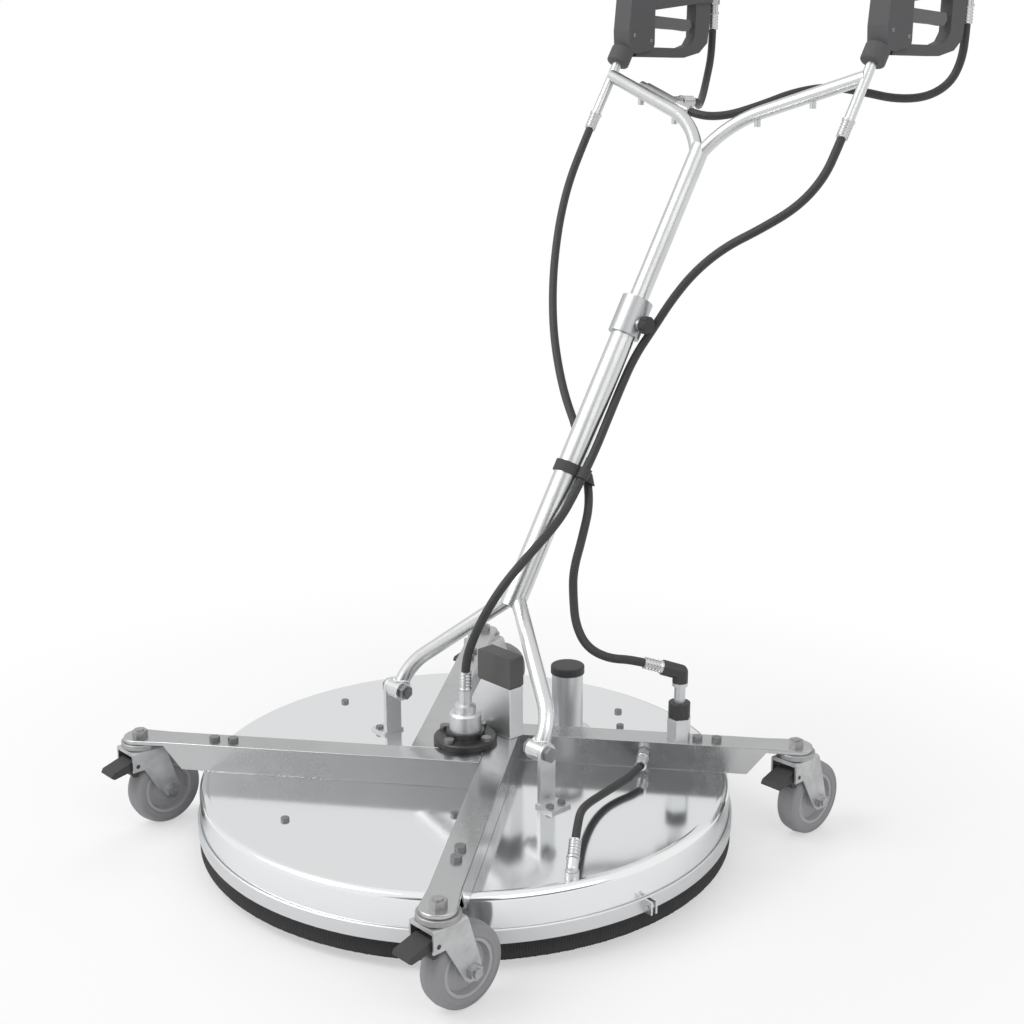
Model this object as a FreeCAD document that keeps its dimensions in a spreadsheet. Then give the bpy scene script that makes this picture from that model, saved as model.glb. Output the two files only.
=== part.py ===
import FreeCAD, Part
import math
import os

import Sketcher
from FreeCAD import Placement, Rotation, Vector

# A four-castor rotary surface cleaner with a mirror-finish round deck, an inverted-Y push
# handle and two trigger guns. Millimetres; +Z up, the operator stands on the +Y side, and
# the origin lies on the floor under the axis of the deck.

SIZES = {
    # deck, brush skirt and the band that clamps it
    "deck_radius": 373.0,
    "deck_top": 101.5,
    "deck_sheet": 3.0,
    "deck_round": 9.0,
    "deck_wall_foot": 38.0,
    "skirt_strip": 3.0,
    "skirt_top": 54.0,
    "skirt_foot": 15.0,
    "bristle_width": 5.0,
    "band_thickness": 1.4,
    "band_foot": 38.0,
    "band_top": 56.0,
    "band_gap": 5.0,
    "band_angle": -4.0,
    "band_lug": 12.0,
    # cross frame of four box arms, laid as a pinwheel
    "arm_width": 40.0,
    "arm_wall": 2.5,
    "arm_offset": 52.0,
    "arm_overhang": 23.0,
    "arm_cut_run": 26.0,
    "tongue_thickness": 6.0,
    "tongue_radius": 23.0,
    "castor_setout": 93.0,
    # castors
    "wheel_radius": 54.0,
    "wheel_width": 32.0,
    "tyre_depth": 17.0,
    "tyre_round": 7.0,
    "castor_trail": 33.0,
    "fork_inside": 38.0,
    "fork_sheet": 3.0,
    "head_radius": 27.0,
    "head_height": 8.2,
    "race_gap": 0.3,
    "crown_thickness": 6.0,
    "kingpin_radius": 6.0,
    "axle_radius": 6.0,
    "nut_height": 8.0,
    "nut_flats": 19.0,
    "pedal_width": 30.0,
    "pedal_pin_radius": 3.0,
    "shaft_play": 0.05,
    "side_play": 0.3,
    # high-pressure swivel and rotor
    "housing_radius": 22.8,
    "housing_foot": 84.0,
    "housing_top": 186.0,
    "flange_radius": 45.0,
    "flange_thickness": 9.0,
    "inlet_top": 218.0,
    "shaft_radius": 8.0,
    "shaft_top": 168.0,
    "bearing_radius": 16.0,
    "bearing_height": 9.0,
    "hub_radius": 20.0,
    "hub_top": 80.0,
    "hub_foot": 52.0,
    "bar_height": 65.0,
    "bar_radius": 7.0,
    "bar_reach": 325.0,
    "nozzle_circle": 305.0,
    # handle pivot, fork and telescopic tube
    "pivot_height": 175.0,
    "pivot_half_span": 150.0,
    "pivot_pin_radius": 6.0,
    "lug_thickness": 6.0,
    "lug_radius": 14.0,
    "lug_foot": 26.0,
    "eye_half": 12.0,
    "leg_straight": 40.0,
    "handle_lean": 31.3,
    "leg_radius": 11.0,
    "eye_radius": 14.0,
    "apex_length": 190.0,
    "mast_radius": 18.0,
    "mast_length": 640.0,
    "mast_bore_start": 236.0,
    "inner_tube_radius": 14.0,
    "inner_tube_wall": 2.5,
    "inner_tube_start": 395.0,
    "inner_tube_end": 905.0,
    "tube_play": 0.06,
    "collar_radius": 23.5,
    "collar_grip": 42.0,
    "collar_lip": 14.0,
    "clip_length": 385.0,
    "clip_width": 16.0,
    # Y handlebar and lances
    "branch_radius": 10.0,
    "branch_bend_half": 36.0,
    "branch_bend_length": 946.0,
    "gun_half_span": 242.0,
    "branch_end_length": 1022.0,
    "lance_radius": 7.5,
    "lance_start": 955.0,
    "lance_end": 1060.0,
    # trigger guns
    "gun_width": 34.0,
    "guard_width": 20.0,
    "grip_width": 28.0,
    "trigger_width": 12.0,
    "gun_nut_radius": 18.0,
    "gun_nut_length": 26.0,
    "gun_inlet_setback": 222.0,
    # feed manifold behind the left branch
    "manifold_radius": 9.0,
    "manifold_setback": 21.0,
    "supply_stub_radius": 7.0,
    "supply_stub_length": 16.0,
    # hoses and fittings
    "hose_radius": 6.25,
    "edge_hose_radius": 5.5,
    "edge_hole_setback": 20.987,
    "port_radius": 23.0,
    "port_height": 94.0,
    "port_setback": 195.0,
    "port_side": 8.0,
    "cap_height": 12.0,
    "coupling_reach": 298.0,
    "coupling_side": 57.0,
    "catch_width": 76.0,
    "catch_depth": 26.0,
    "catch_height": 75.0,
    "catch_side": 4.0,
    "catch_setback": 60.0,
    "block_height": 45.0,
}


class Size:
    """A number together with the sheet expression that gives it."""

    def __init__(self, text, value):
        self.text = text
        self.value = float(value)

    def __float__(self):
        return self.value

    def _with(self, other, sign, value, swap=False):
        text = other.text if isinstance(other, Size) else repr(float(other))
        pair = (text, self.text) if swap else (self.text, text)
        return Size(f"({pair[0]} {sign} {pair[1]})", value)

    def __add__(self, other):
        return self._with(other, "+", self.value + float(other))

    def __radd__(self, other):
        return self._with(other, "+", float(other) + self.value, True)

    def __sub__(self, other):
        return self._with(other, "-", self.value - float(other))

    def __rsub__(self, other):
        return self._with(other, "-", float(other) - self.value, True)

    def __mul__(self, other):
        return self._with(other, "*", self.value * float(other))

    def __rmul__(self, other):
        return self._with(other, "*", float(other) * self.value, True)

    def __truediv__(self, other):
        return self._with(other, "/", self.value / float(other))

    def __neg__(self):
        return Size(f"(0 - {self.text})", -self.value)


# The side of the deck where the edge-jet hose goes down through it.
EDGE_SIDE = (332.0, -117.0)

doc = FreeCAD.newDocument("surface_cleaner")
sheet = doc.addObject("Spreadsheet::Sheet", "Sizes")
for row, (alias, value) in enumerate(SIZES.items(), start=1):
    sheet.set(f"A{row}", alias)
    sheet.set(f"B{row}", str(value))
    sheet.setAlias(f"B{row}", alias)
doc.recompute()

size = {alias: Size(f"Sizes.{alias}", value) for alias, value in SIZES.items()}
castor_circle = size["deck_radius"] + size["castor_setout"]
arm_full_reach = size["deck_radius"] + size["arm_overhang"]
collar_start = size["mast_length"] - size["collar_grip"]
edge_share = (size["deck_radius"] - size["edge_hole_setback"]) / math.hypot(*EDGE_SIDE)
edge_hole = [edge_share * reach for reach in EDGE_SIDE]
nodes = []


# ---- small helpers -------------------------------------------------------------------


def number(value):
    return float(value)


def bind(thing, **sizes):
    """Set properties, each bound to its sheet expression where it has one."""
    for name, value in sizes.items():
        setattr(thing, name, number(value))
        if isinstance(value, Size):
            thing.setExpression(name, value.text)


def point(x, y, z):
    return Vector(number(x), number(y), number(z))


def node(thing, label, place=None):
    """Name an object as a sub-part of its own and put it in its place."""
    thing.Label = label
    if place is not None:
        thing.Placement = place
    nodes.append(thing)
    return thing


def new_body(name):
    return doc.addObject("PartDesign::Body", name)


def plane(body, role):
    return next(p for p in body.Origin.OriginFeatures if p.Role == role)


def outline(body, role, corners, lift=None, holes=()):
    """A sketch of closed polygons whose corners are all bound to the sheet."""
    sketch = body.newObject("Sketcher::SketchObject", body.Name + "_sketch")
    sketch.AttachmentSupport = (plane(body, role), [""])
    sketch.MapMode = "FlatFace"
    if lift is not None:
        sketch.AttachmentOffset = Placement(Vector(0, 0, number(lift)), Rotation())
        if isinstance(lift, Size):
            sketch.setExpression("AttachmentOffset.Base.z", lift.text)
    for ring in (corners, *holes):
        first = sketch.GeometryCount
        spots = [Vector(number(a), number(b), 0) for a, b in ring]
        for here, there in zip(spots, spots[1:] + spots[:1]):
            sketch.addGeometry(Part.LineSegment(here, there), False)
        for index, corner in enumerate(ring):
            line = first + index
            before = first + (index - 1) % len(ring)
            sketch.addConstraint(Sketcher.Constraint("Coincident", before, 2, line, 1))
            for kind, value in zip(("DistanceX", "DistanceY"), corner):
                rule = Sketcher.Constraint(kind, -1, 1, line, 1, number(value))
                constraint = sketch.addConstraint(rule)
                if isinstance(value, Size):
                    sketch.setExpression(f"Constraints[{constraint}]", value.text)
    return sketch


def feature(body, kind, sketch, **settings):
    made = body.newObject("PartDesign::" + kind, body.Name + "_" + kind.lower())
    made.Profile = sketch
    sketch.Visibility = False
    for name, value in settings.items():
        if isinstance(value, (Size, float)):
            bind(made, **{name: value})
        else:
            setattr(made, name, value)
    return made


def volume_of(body):
    doc.recompute()
    return body.Shape.Volume


def turned(name, corners, axis="V_Axis"):
    """A body of revolution: corners are (radius, height) on the XZ plane."""
    body = new_body(name)
    sketch = outline(body, "XZ_Plane", corners)
    made = feature(body, "Revolution", sketch, Angle=360.0)
    made.ReferenceAxis = (sketch, [axis])
    volume_of(body)
    return body


def extruded(name, role, corners, length, holes=(), lift=None, centred=True):
    body = new_body(name)
    sketch = outline(body, role, corners, lift, holes)
    feature(body, "Pad", sketch, Length=length, Midplane=centred)
    volume_of(body)
    return body


def cut(body, role, corners, length, lift=None, centred=True):
    """A pocket that has to take something away."""
    before = volume_of(body)
    sketch = outline(body, role, corners, lift)
    feature(body, "Pocket", sketch, Length=length, Midplane=centred)
    after = volume_of(body)
    if after > before - 1.0:
        raise RuntimeError("pocket in " + body.Name + " cuts nothing")


def new_round(body, role, centre, radius):
    """A sketch of one circle, bound to the sheet."""
    sketch = body.newObject("Sketcher::SketchObject", body.Name + "_round")
    sketch.AttachmentSupport = (plane(body, role), [""])
    sketch.MapMode = "FlatFace"
    middle = Vector(number(centre[0]), number(centre[1]), 0)
    sketch.addGeometry(Part.Circle(middle, Vector(0, 0, 1), number(radius)), False)
    for rule, value in (
        (("DistanceX", -1, 1, 0, 3), centre[0]),
        (("DistanceY", -1, 1, 0, 3), centre[1]),
        (("Radius", 0), radius),
    ):
        constraint = sketch.addConstraint(Sketcher.Constraint(*rule, number(value)))
        if isinstance(value, Size):
            sketch.setExpression(f"Constraints[{constraint}]", value.text)
    return sketch


def cut_round(body, role, centre, radius, length):
    """A round hole through the body, centred on the sketch plane."""
    before = volume_of(body)
    sketch = new_round(body, role, centre, radius)
    feature(body, "Pocket", sketch, Length=length, Midplane=True)
    if volume_of(body) > before - 1.0:
        raise RuntimeError("hole in " + body.Name + " cuts nothing")


def soften(body, radius, chosen):
    """Fillet the edges of the body's tip that the test picks out."""
    tip = body.Tip
    names = [
        f"Edge{index}" for index, edge in enumerate(tip.Shape.Edges, start=1) if chosen(edge)
    ]
    if not names:
        raise RuntimeError("no edge to round on " + body.Name)
    fillet = body.newObject("PartDesign::Fillet", body.Name + "_round")
    fillet.Base = (tip, names)
    bind(fillet, Radius=radius)
    volume_of(body)


def along(axis, **fixed):
    """Test for straight edges that run along an axis, at the given other coordinates."""

    def test(edge):
        if len(edge.Vertexes) != 2 or not hasattr(edge.Curve, "Direction"):
            return False
        if abs(abs(getattr(edge.Curve.Direction, axis)) - 1) > 1e-6:
            return False
        start = edge.Vertexes[0].Point
        return all(abs(getattr(start, key) - number(v)) < 0.01 for key, v in fixed.items())

    return test


def ring_at(radius, height):
    """Test for the circular edge of a radius at a height on the Z axis."""

    def test(edge):
        curve = edge.Curve
        if not isinstance(curve, Part.Circle):
            return False
        near = abs(curve.Radius - number(radius)) < 0.01
        return near and abs(curve.Center.z - number(height)) < 0.01

    return test


def shaped(label, shape, place=None):
    """A sub-part made straight from Part's solids."""
    thing = doc.addObject("Part::Feature", label)
    thing.Shape = shape
    return node(thing, label, place)


def rod(start, end, radius):
    start, end = Vector(start), Vector(end)
    return Part.makeCylinder(number(radius), (end - start).Length, start, end - start)


def pipe(start, end, radius, bore):
    return rod(start, end, radius).cut(rod(start, end, bore))


def hexagon(start, axis, flats, height):
    """A hexagonal prism, standing on start, across the given flats."""
    reach = number(flats) / math.sqrt(3)
    corners = [
        Vector(reach * math.cos(math.radians(60 * k)), reach * math.sin(math.radians(60 * k)), 0)
        for k in range(7)
    ]
    prism = Part.Face(Part.makePolygon(corners)).extrude(Vector(0, 0, number(height)))
    prism.Placement = Placement(Vector(start), Rotation(Vector(0, 0, 1), Vector(axis)))
    return prism


def bend_wire(points, share=0.45):
    """Straight runs joined by tangent arcs, each as large as its two runs allow."""
    points = [Vector(*p) for p in points]
    edges, radii = [], []
    start = points[0]
    for before, corner, after in zip(points, points[1:], points[2:]):
        back, ahead = before - corner, after - corner
        reach = share * min(back.Length, ahead.Length)
        turn = math.pi - back.getAngle(ahead)
        radii.append(reach / math.tan(turn / 2))
        back.normalize()
        ahead.normalize()
        enter = corner + back * reach
        leave = corner + ahead * reach
        middle = back + ahead
        middle.normalize()
        depth = radii[-1] * (1 / math.cos(turn / 2) - 1)
        edges.append(Part.LineSegment(start, enter).toShape())
        edges.append(Part.Arc(enter, corner + middle * depth, leave).toShape())
        start = leave
    edges.append(Part.LineSegment(start, points[-1]).toShape())
    return Part.Wire(edges), radii


def swept(points, radius, share=0.45):
    """A round tube along a bent wire, tested against its section times its length."""
    wire, radii = bend_wire(points, share)
    start = Vector(*points[0])
    heading = Vector(*points[1]) - start
    ring = Part.Wire(Part.makeCircle(number(radius), start, heading))
    tube = wire.makePipeShell([ring], True, False)
    expected = math.pi * number(radius) ** 2 * wire.Length
    if abs(tube.Volume - expected) > 0.02 * expected:
        raise RuntimeError("swept tube has the wrong volume")
    return tube, wire.Length, radii


def hose(label, points, radius):
    tube, length, radii = swept(points, radius)
    runs = [(Vector(*b) - Vector(*a)).Length for a, b in zip(points, points[1:])]
    print(label, "length", round(length), "radii", [round(r) for r in radii])
    print("   runs", [round(run) for run in runs])
    return shaped(label, tube)


def handle_point(side, length, lift=0.0):
    """A place on the handle: to the side, along it from the pivot, and off its plane."""
    lean = math.radians(number(size["handle_lean"]))
    sine, cosine = math.sin(lean), math.cos(lean)
    length, lift = number(length), number(lift)
    return Vector(
        number(side),
        sine * length + cosine * lift,
        number(size["pivot_height"]) + cosine * length - sine * lift,
    )


# ---- deck, skirt and clamp band ------------------------------------------------------


def make_deck():
    radius, sheet_t, top = size["deck_radius"], size["deck_sheet"], size["deck_top"]
    hole = size["housing_radius"]
    deck = turned(
        "deck",
        [
            (hole, top - sheet_t),
            (radius - sheet_t, top - sheet_t),
            (radius - sheet_t, size["deck_wall_foot"]),
            (radius, size["deck_wall_foot"]),
            (radius, top),
            (hole, top),
        ],
    )
    soften(deck, size["deck_round"], ring_at(radius, top))
    soften(deck, size["deck_round"] - sheet_t, ring_at(radius - sheet_t, top - sheet_t))
    port = (size["port_side"], size["port_setback"])
    cut_round(deck, "XY_Plane", port, size["port_radius"] - 3, 3 * top)
    cut_round(deck, "XY_Plane", edge_hole, size["edge_hose_radius"], 3 * top)
    node(deck, "deck_shell")


def make_skirt():
    wall, strip = size["deck_radius"], size["skirt_strip"]
    tuft = size["bristle_width"]
    skirt = turned(
        "skirt",
        [
            (wall, size["skirt_top"]),
            (wall + strip, size["skirt_top"]),
            (wall + strip, size["band_foot"]),
            (wall + strip, size["skirt_foot"]),
            (wall + strip - tuft, size["skirt_foot"]),
            (wall + strip - tuft, size["deck_wall_foot"]),
            (wall, size["deck_wall_foot"]),
        ],
    )
    node(skirt, "brush_skirt")


def make_band():
    inner = size["deck_radius"] + size["skirt_strip"]
    outer = inner + size["band_thickness"]
    low, high = size["band_foot"], size["band_top"]
    band = turned("band", [(inner, low), (outer, low), (outer, high), (inner, high)])
    gap, lug = size["band_gap"], size["band_lug"]
    cut(band, "XY_Plane", box_corners(inner / 2, gap / -2, outer + lug, gap / 2), 3 * high)
    for near, far in ((gap / 2, gap / 2 + 3), (gap / -2 - 3, gap / -2)):
        ear = outline(band, "XY_Plane", box_corners(inner + 0.7, near, outer + lug, far), low)
        feature(band, "Pad", ear, Length=high - low)
    cut_round(band, "XZ_Plane", (outer + lug / 2, (low + high) / 2), 3.0, 4 * lug)
    turn = Rotation(Vector(0, 0, 1), number(size["band_angle"]))
    node(band, "skirt_clamp_band", Placement(Vector(), turn))


def box_corners(low_a, low_b, high_a, high_b):
    return [(low_a, low_b), (high_a, low_b), (high_a, high_b), (low_a, high_b)]


# ---- cross frame ---------------------------------------------------------------------

CASTORS = {
    "front_right": -45.0,
    "rear_right": 45.0,
    "rear_left": 135.0,
    "front_left": -135.0,
}


def arm_turn(angle):
    """Turn about Z that carries +X onto the outward direction of the arm to a castor."""
    lean = math.asin(number(size["arm_offset"]) / number(castor_circle))
    return angle - math.degrees(lean)


def castor_reach():
    return math.sqrt(number(castor_circle) ** 2 - number(size["arm_offset"]) ** 2)


def on_arm(angle, reach, side, height):
    """A place given along an arm's outward direction and to the left of it."""
    turn = math.radians(arm_turn(angle))
    reach, side = number(reach), number(side)
    return Vector(
        reach * math.cos(turn) - side * math.sin(turn),
        reach * math.sin(turn) + side * math.cos(turn),
        number(height),
    )


def make_arm(where, angle):
    half, wall, offset = size["arm_width"] / 2, size["arm_wall"], size["arm_offset"]
    low, high = size["deck_top"], size["deck_top"] + size["arm_width"]
    start = half - offset
    reach = castor_reach()
    end = reach + size["tongue_radius"]
    full, run = arm_full_reach, size["arm_cut_run"]
    body = new_body("arm_" + where)
    sketch = outline(
        body,
        "YZ_Plane",
        box_corners(offset - half, low, offset + half, high),
        start,
        [box_corners(offset - half + wall, low + wall, offset + half - wall, high - wall)],
    )
    feature(body, "Pad", sketch, Length=full + run - start)
    tongue_low = high - size["tongue_thickness"]
    below = [
        (full, low - 1),
        (full + run + 1, low - 1),
        (full + run + 1, tongue_low),
        (full + run, tongue_low),
        (full, low),
    ]
    cut(body, "XZ_Plane", below, 4 * offset + 4 * half)
    tongue_half = size["tongue_radius"]
    plate = outline(
        body,
        "XY_Plane",
        box_corners(full - 4, offset - half + wall, full + run, offset + half - wall),
        tongue_low,
    )
    feature(body, "Pad", plate, Length=size["tongue_thickness"] - wall)
    plate = outline(
        body,
        "XY_Plane",
        [
            (full + run, offset - half),
            (reach, offset - tongue_half),
            (end, offset - tongue_half),
            (end, offset + tongue_half),
            (reach, offset + tongue_half),
            (full + run, offset + half),
        ],
        tongue_low,
    )
    feature(body, "Pad", plate, Length=size["tongue_thickness"])
    volume_of(body)
    soften(body, tongue_half - 1, along("z", x=end))
    cut_round(body, "XY_Plane", (reach, offset), size["kingpin_radius"], 3 * high)
    turn = Rotation(Vector(0, 0, 1), arm_turn(angle))
    node(body, "frame_arm_" + where, Placement(Vector(), turn))


# ---- castors -------------------------------------------------------------------------


def castor_axis(angle):
    radius, turn = number(castor_circle), math.radians(angle)
    return Vector(radius * math.cos(turn), radius * math.sin(turn), 0)


def head_foot():
    tongue_low = size["deck_top"] + size["arm_width"] - size["tongue_thickness"]
    return tongue_low - size["head_height"]


def make_heads():
    """Fixed race, kingpin and nut of each castor, bolted through the frame's tongue."""
    frame_top = number(size["deck_top"] + size["arm_width"])
    foot, play = number(head_foot()), number(size["race_gap"])
    tongue_low = frame_top - number(size["tongue_thickness"])
    crown_low = foot - play - number(size["crown_thickness"])
    heads = []
    for angle in CASTORS.values():
        at = castor_axis(angle)
        up = Vector(0, 0, 1)
        radius = number(size["head_radius"])
        race = Part.makeCylinder(radius, tongue_low - foot, at + up * foot)
        rim = [edge for edge in race.Edges if isinstance(edge.Curve, Part.Circle)]
        race = race.makeFillet(1.5, rim)
        pin_low = crown_low - play - 4
        nut_top = frame_top + number(size["nut_height"])
        pin = Part.makeCylinder(
            number(size["kingpin_radius"]), nut_top + 2 - pin_low, at + up * pin_low
        )
        flange = Part.makeCylinder(number(size["kingpin_radius"]) + 5, 4, at + up * pin_low)
        nut = hexagon(at + up * frame_top, up, size["nut_flats"], size["nut_height"])
        heads.append(race.fuse([pin, flange, nut]).removeSplitter())
    shaped("castor_heads", Part.makeCompound(heads))


def make_castor(where, angle):
    """Swivel fork, pedal, axle, rim and tyre; the wheel trails towards +Y."""
    at = castor_axis(angle)
    trail, wheel_z = size["castor_trail"], size["wheel_radius"]
    crown_top = head_foot() - size["race_gap"]
    crown_low = crown_top - size["crown_thickness"]
    inside, sheet_t = size["fork_inside"], size["fork_sheet"]
    fork = new_body("fork_" + where)
    side = [
        (-26, crown_top),
        (26, crown_top),
        (trail + 13, wheel_z + 7),
        (trail + 13, wheel_z - 7),
        (trail + 5, wheel_z - 14),
        (trail - 5, wheel_z - 14),
        (trail - 13, wheel_z - 7),
        (-8, crown_low - 24),
        (-26, crown_low - 24),
    ]
    sketch = outline(fork, "YZ_Plane", side)
    feature(fork, "Pad", sketch, Length=inside + 2 * sheet_t, Midplane=True)
    hollow = [
        (-60, crown_low),
        (120, crown_low),
        (120, -20),
        (-60, -20),
    ]
    cut(fork, "YZ_Plane", hollow, inside)
    soften(fork, size["fork_sheet"] + 1, along("y", z=crown_top))
    cut_round(fork, "XY_Plane", (0, 0), size["kingpin_radius"] + size["shaft_play"], 4 * crown_top)
    pin = size["pedal_pin_radius"] + size["shaft_play"]
    pedal_y, pedal_z = -18, crown_low - 16
    cut_round(fork, "YZ_Plane", (pedal_y, pedal_z), pin, 2 * inside)
    cut_round(fork, "YZ_Plane", (trail, wheel_z), size["axle_radius"], 2 * inside)
    node(fork, "castor_fork_" + where, Placement(at, Rotation()))

    half = number(inside / 2 + sheet_t)
    centre = at + point(0, trail, wheel_z)
    across = Vector(1, 0, 0)
    bolt = rod(centre - across * (half + 8), centre + across * (half + 10), size["axle_radius"])
    flats = size["nut_flats"] - 1
    head = hexagon(centre - across * (half + 6), across, flats, 6)
    nut = hexagon(centre + across * half, across, flats, 7)
    shaped("castor_axle_" + where, bolt.fuse([head, nut]).removeSplitter())

    wheel, width = size["wheel_radius"], size["wheel_width"]
    inner = wheel - size["tyre_depth"]
    bore = size["axle_radius"] + size["shaft_play"]
    rim = turned(
        "rim_" + where,
        [
            (bore, inside / -2 + size["side_play"]),
            (13, inside / -2 + size["side_play"]),
            (14, -8),
            (20, -5),
            (inner - 6, -5),
            (inner - 4, width / -2 + 2),
            (inner, width / -2 + 2),
            (inner, width / 2 - 2),
            (inner - 4, width / 2 - 2),
            (inner - 6, 5),
            (20, 5),
            (14, 8),
            (13, inside / 2 - size["side_play"]),
            (bore, inside / 2 - size["side_play"]),
        ],
    )
    sideways = Rotation(Vector(0, 1, 0), 90)
    node(rim, "castor_rim_" + where, Placement(centre, sideways))
    tyre = turned(
        "tyre_" + where,
        [
            (inner, width / -2 + 2),
            (inner + 2, width / -2),
            (wheel, width / -2),
            (wheel, width / 2),
            (inner + 2, width / 2),
            (inner, width / 2 - 2),
        ],
    )
    soften(tyre, size["tyre_round"], ring_at(wheel, width / -2))
    soften(tyre, size["tyre_round"], ring_at(wheel, width / 2))
    node(tyre, "castor_tyre_" + where, Placement(centre, sideways))

    pedal = extruded(
        "pedal_" + where,
        "YZ_Plane",
        [
            (pedal_y + 6, pedal_z + 5),
            (pedal_y - 4, pedal_z + 7),
            (pedal_y - 36, pedal_z - 3),
            (pedal_y - 39, pedal_z - 9),
            (pedal_y - 34, pedal_z - 12),
            (pedal_y - 10, pedal_z - 8),
            (pedal_y - 4, pedal_z - 18),
            (pedal_y + 3, pedal_z - 19),
            (pedal_y + 7, pedal_z - 4),
        ],
        size["pedal_width"],
    )
    soften(pedal, 1.5, along("x"))
    pin = new_round(pedal, "YZ_Plane", (pedal_y, pedal_z), size["pedal_pin_radius"])
    feature(pedal, "Pad", pin, Length=inside + 2 * sheet_t, Midplane=True)
    volume_of(pedal)
    node(pedal, "brake_pedal_" + where, Placement(at, Rotation()))


# ---- swivel and rotor ----------------------------------------------------------------


def make_swivel():
    frame_top = size["deck_top"] + size["arm_width"]
    outer, flange = size["housing_radius"], size["flange_radius"]
    thick = size["flange_thickness"]
    plate = turned(
        "flange",
        [
            (outer, frame_top),
            (flange, frame_top),
            (flange, frame_top + thick - 2),
            (flange - 2, frame_top + thick),
            (outer + 5, frame_top + thick),
            (outer + 4, frame_top + thick + 9),
            (outer, frame_top + thick + 9),
        ],
    )
    for spot in flange_bolts():
        cut_round(plate, "XY_Plane", (spot.x, spot.y), BOLT_RADIUS + 0.4, 4 * frame_top)
    node(plate, "swivel_flange")
    foot, top = size["housing_foot"], size["housing_top"]
    shaft = size["shaft_radius"]
    clear = shaft + 1
    seat, tall = size["bearing_radius"], size["bearing_height"]
    shaft_top = size["shaft_top"]
    housing = turned(
        "housing",
        [
            (seat, foot),
            (outer, foot),
            (outer, top - 3),
            (outer - 3, top),
            (15, top),
            (15, top + 10),
            (9, top + 12),
            (9, size["inlet_top"]),
            (4, size["inlet_top"]),
            (4, shaft_top + 2),
            (clear, shaft_top + 2),
            (clear, shaft_top - 6),
            (seat, shaft_top - 6),
            (seat, shaft_top - 6 - tall),
            (clear, shaft_top - 6 - tall),
            (clear, foot + tall),
            (seat, foot + tall),
        ],
    )
    node(housing, "swivel_housing")
    bore = number(shaft + size["shaft_play"])
    rings = []
    for low in (number(foot), number(shaft_top) - 6 - number(tall)):
        start, end = Vector(0, 0, low), Vector(0, 0, low + number(tall))
        rings.append(pipe(start, end, seat, bore))
    shaped("rotor_bearings", Part.makeCompound(rings))
    hub = turned(
        "hub",
        [
            (0, size["hub_foot"]),
            (size["hub_radius"] - 3, size["hub_foot"]),
            (size["hub_radius"], size["hub_foot"] + 3),
            (size["hub_radius"], size["hub_top"] - 3),
            (size["hub_radius"] - 3, size["hub_top"]),
            (shaft, size["hub_top"]),
            (shaft, shaft_top),
            (0, shaft_top),
        ],
    )
    cut_round(hub, "YZ_Plane", (0, size["bar_height"]), size["bar_radius"], 4 * size["hub_radius"])
    node(hub, "rotor_hub")


def make_spray_bar():
    """A straight tube through the hub, with a boss under it for each nozzle."""
    height, radius = number(size["bar_height"]), number(size["bar_radius"])
    reach = number(size["bar_reach"])
    ends = Vector(-reach, 0, height), Vector(reach, 0, height)
    bar = rod(*ends, radius)
    nozzles = []
    for spot in (-1, -0.5, 0.5, 1):
        at = Vector(spot * number(size["nozzle_circle"]), 0, height)
        boss_end = at - Vector(0, 0, radius + 4)
        bar = bar.fuse(rod(at, boss_end, radius - 1))
        down = Vector(0, 0, -1)
        nut = hexagon(boss_end, down, 2 * radius, 10)
        tip = Part.makeCone(4.5, 2.5, 5, boss_end + down * 10, down)
        nozzles.append(nut.fuse(tip).removeSplitter())
    bore = rod(Vector(-reach + 4, 0, height), Vector(reach - 4, 0, height), radius - 2.5)
    shaped("spray_bar", bar.removeSplitter().cut(bore))
    shaped("spray_nozzles", Part.makeCompound(nozzles))


# ---- chassis fittings ----------------------------------------------------------------

COLLAR_FOOT = 31.0
COLLAR_HEIGHT = 23.0
ELBOW_FOOT = 83.5
ELBOW_REACH = 28.0
ELBOW_HEADING = (-0.525, -0.79, 0.32)
EDGE_END_HEADING = (-0.51, 0.645, 0.566)

BOLT_RADIUS = 4.0
BOLT_FLATS = 13.0
BOLT_HEAD = 5.5
DECK_BOLT_FLATS = 10.0
DECK_BOLTS = ((-35, -287), (107, -113), (164, -168), (-309, 19), (10, 304), (52, 264))


def flange_bolts():
    """Bolt places on the flange: one over each arm of the frame."""
    radius = number(size["flange_radius"]) - 8
    top = size["deck_top"] + size["arm_width"] + size["flange_thickness"]
    for angle in CASTORS.values():
        turn = math.radians(arm_turn(angle) + 62)
        yield Vector(radius * math.cos(turn), radius * math.sin(turn), number(top))


def bolt(seat, length):
    """Hexagon-head bolt with its head on the seat and its shank down."""
    head = hexagon(seat, Vector(0, 0, 1), BOLT_FLATS, BOLT_HEAD)
    return head.fuse(rod(seat, seat - Vector(0, 0, length), BOLT_RADIUS)).removeSplitter()


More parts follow.
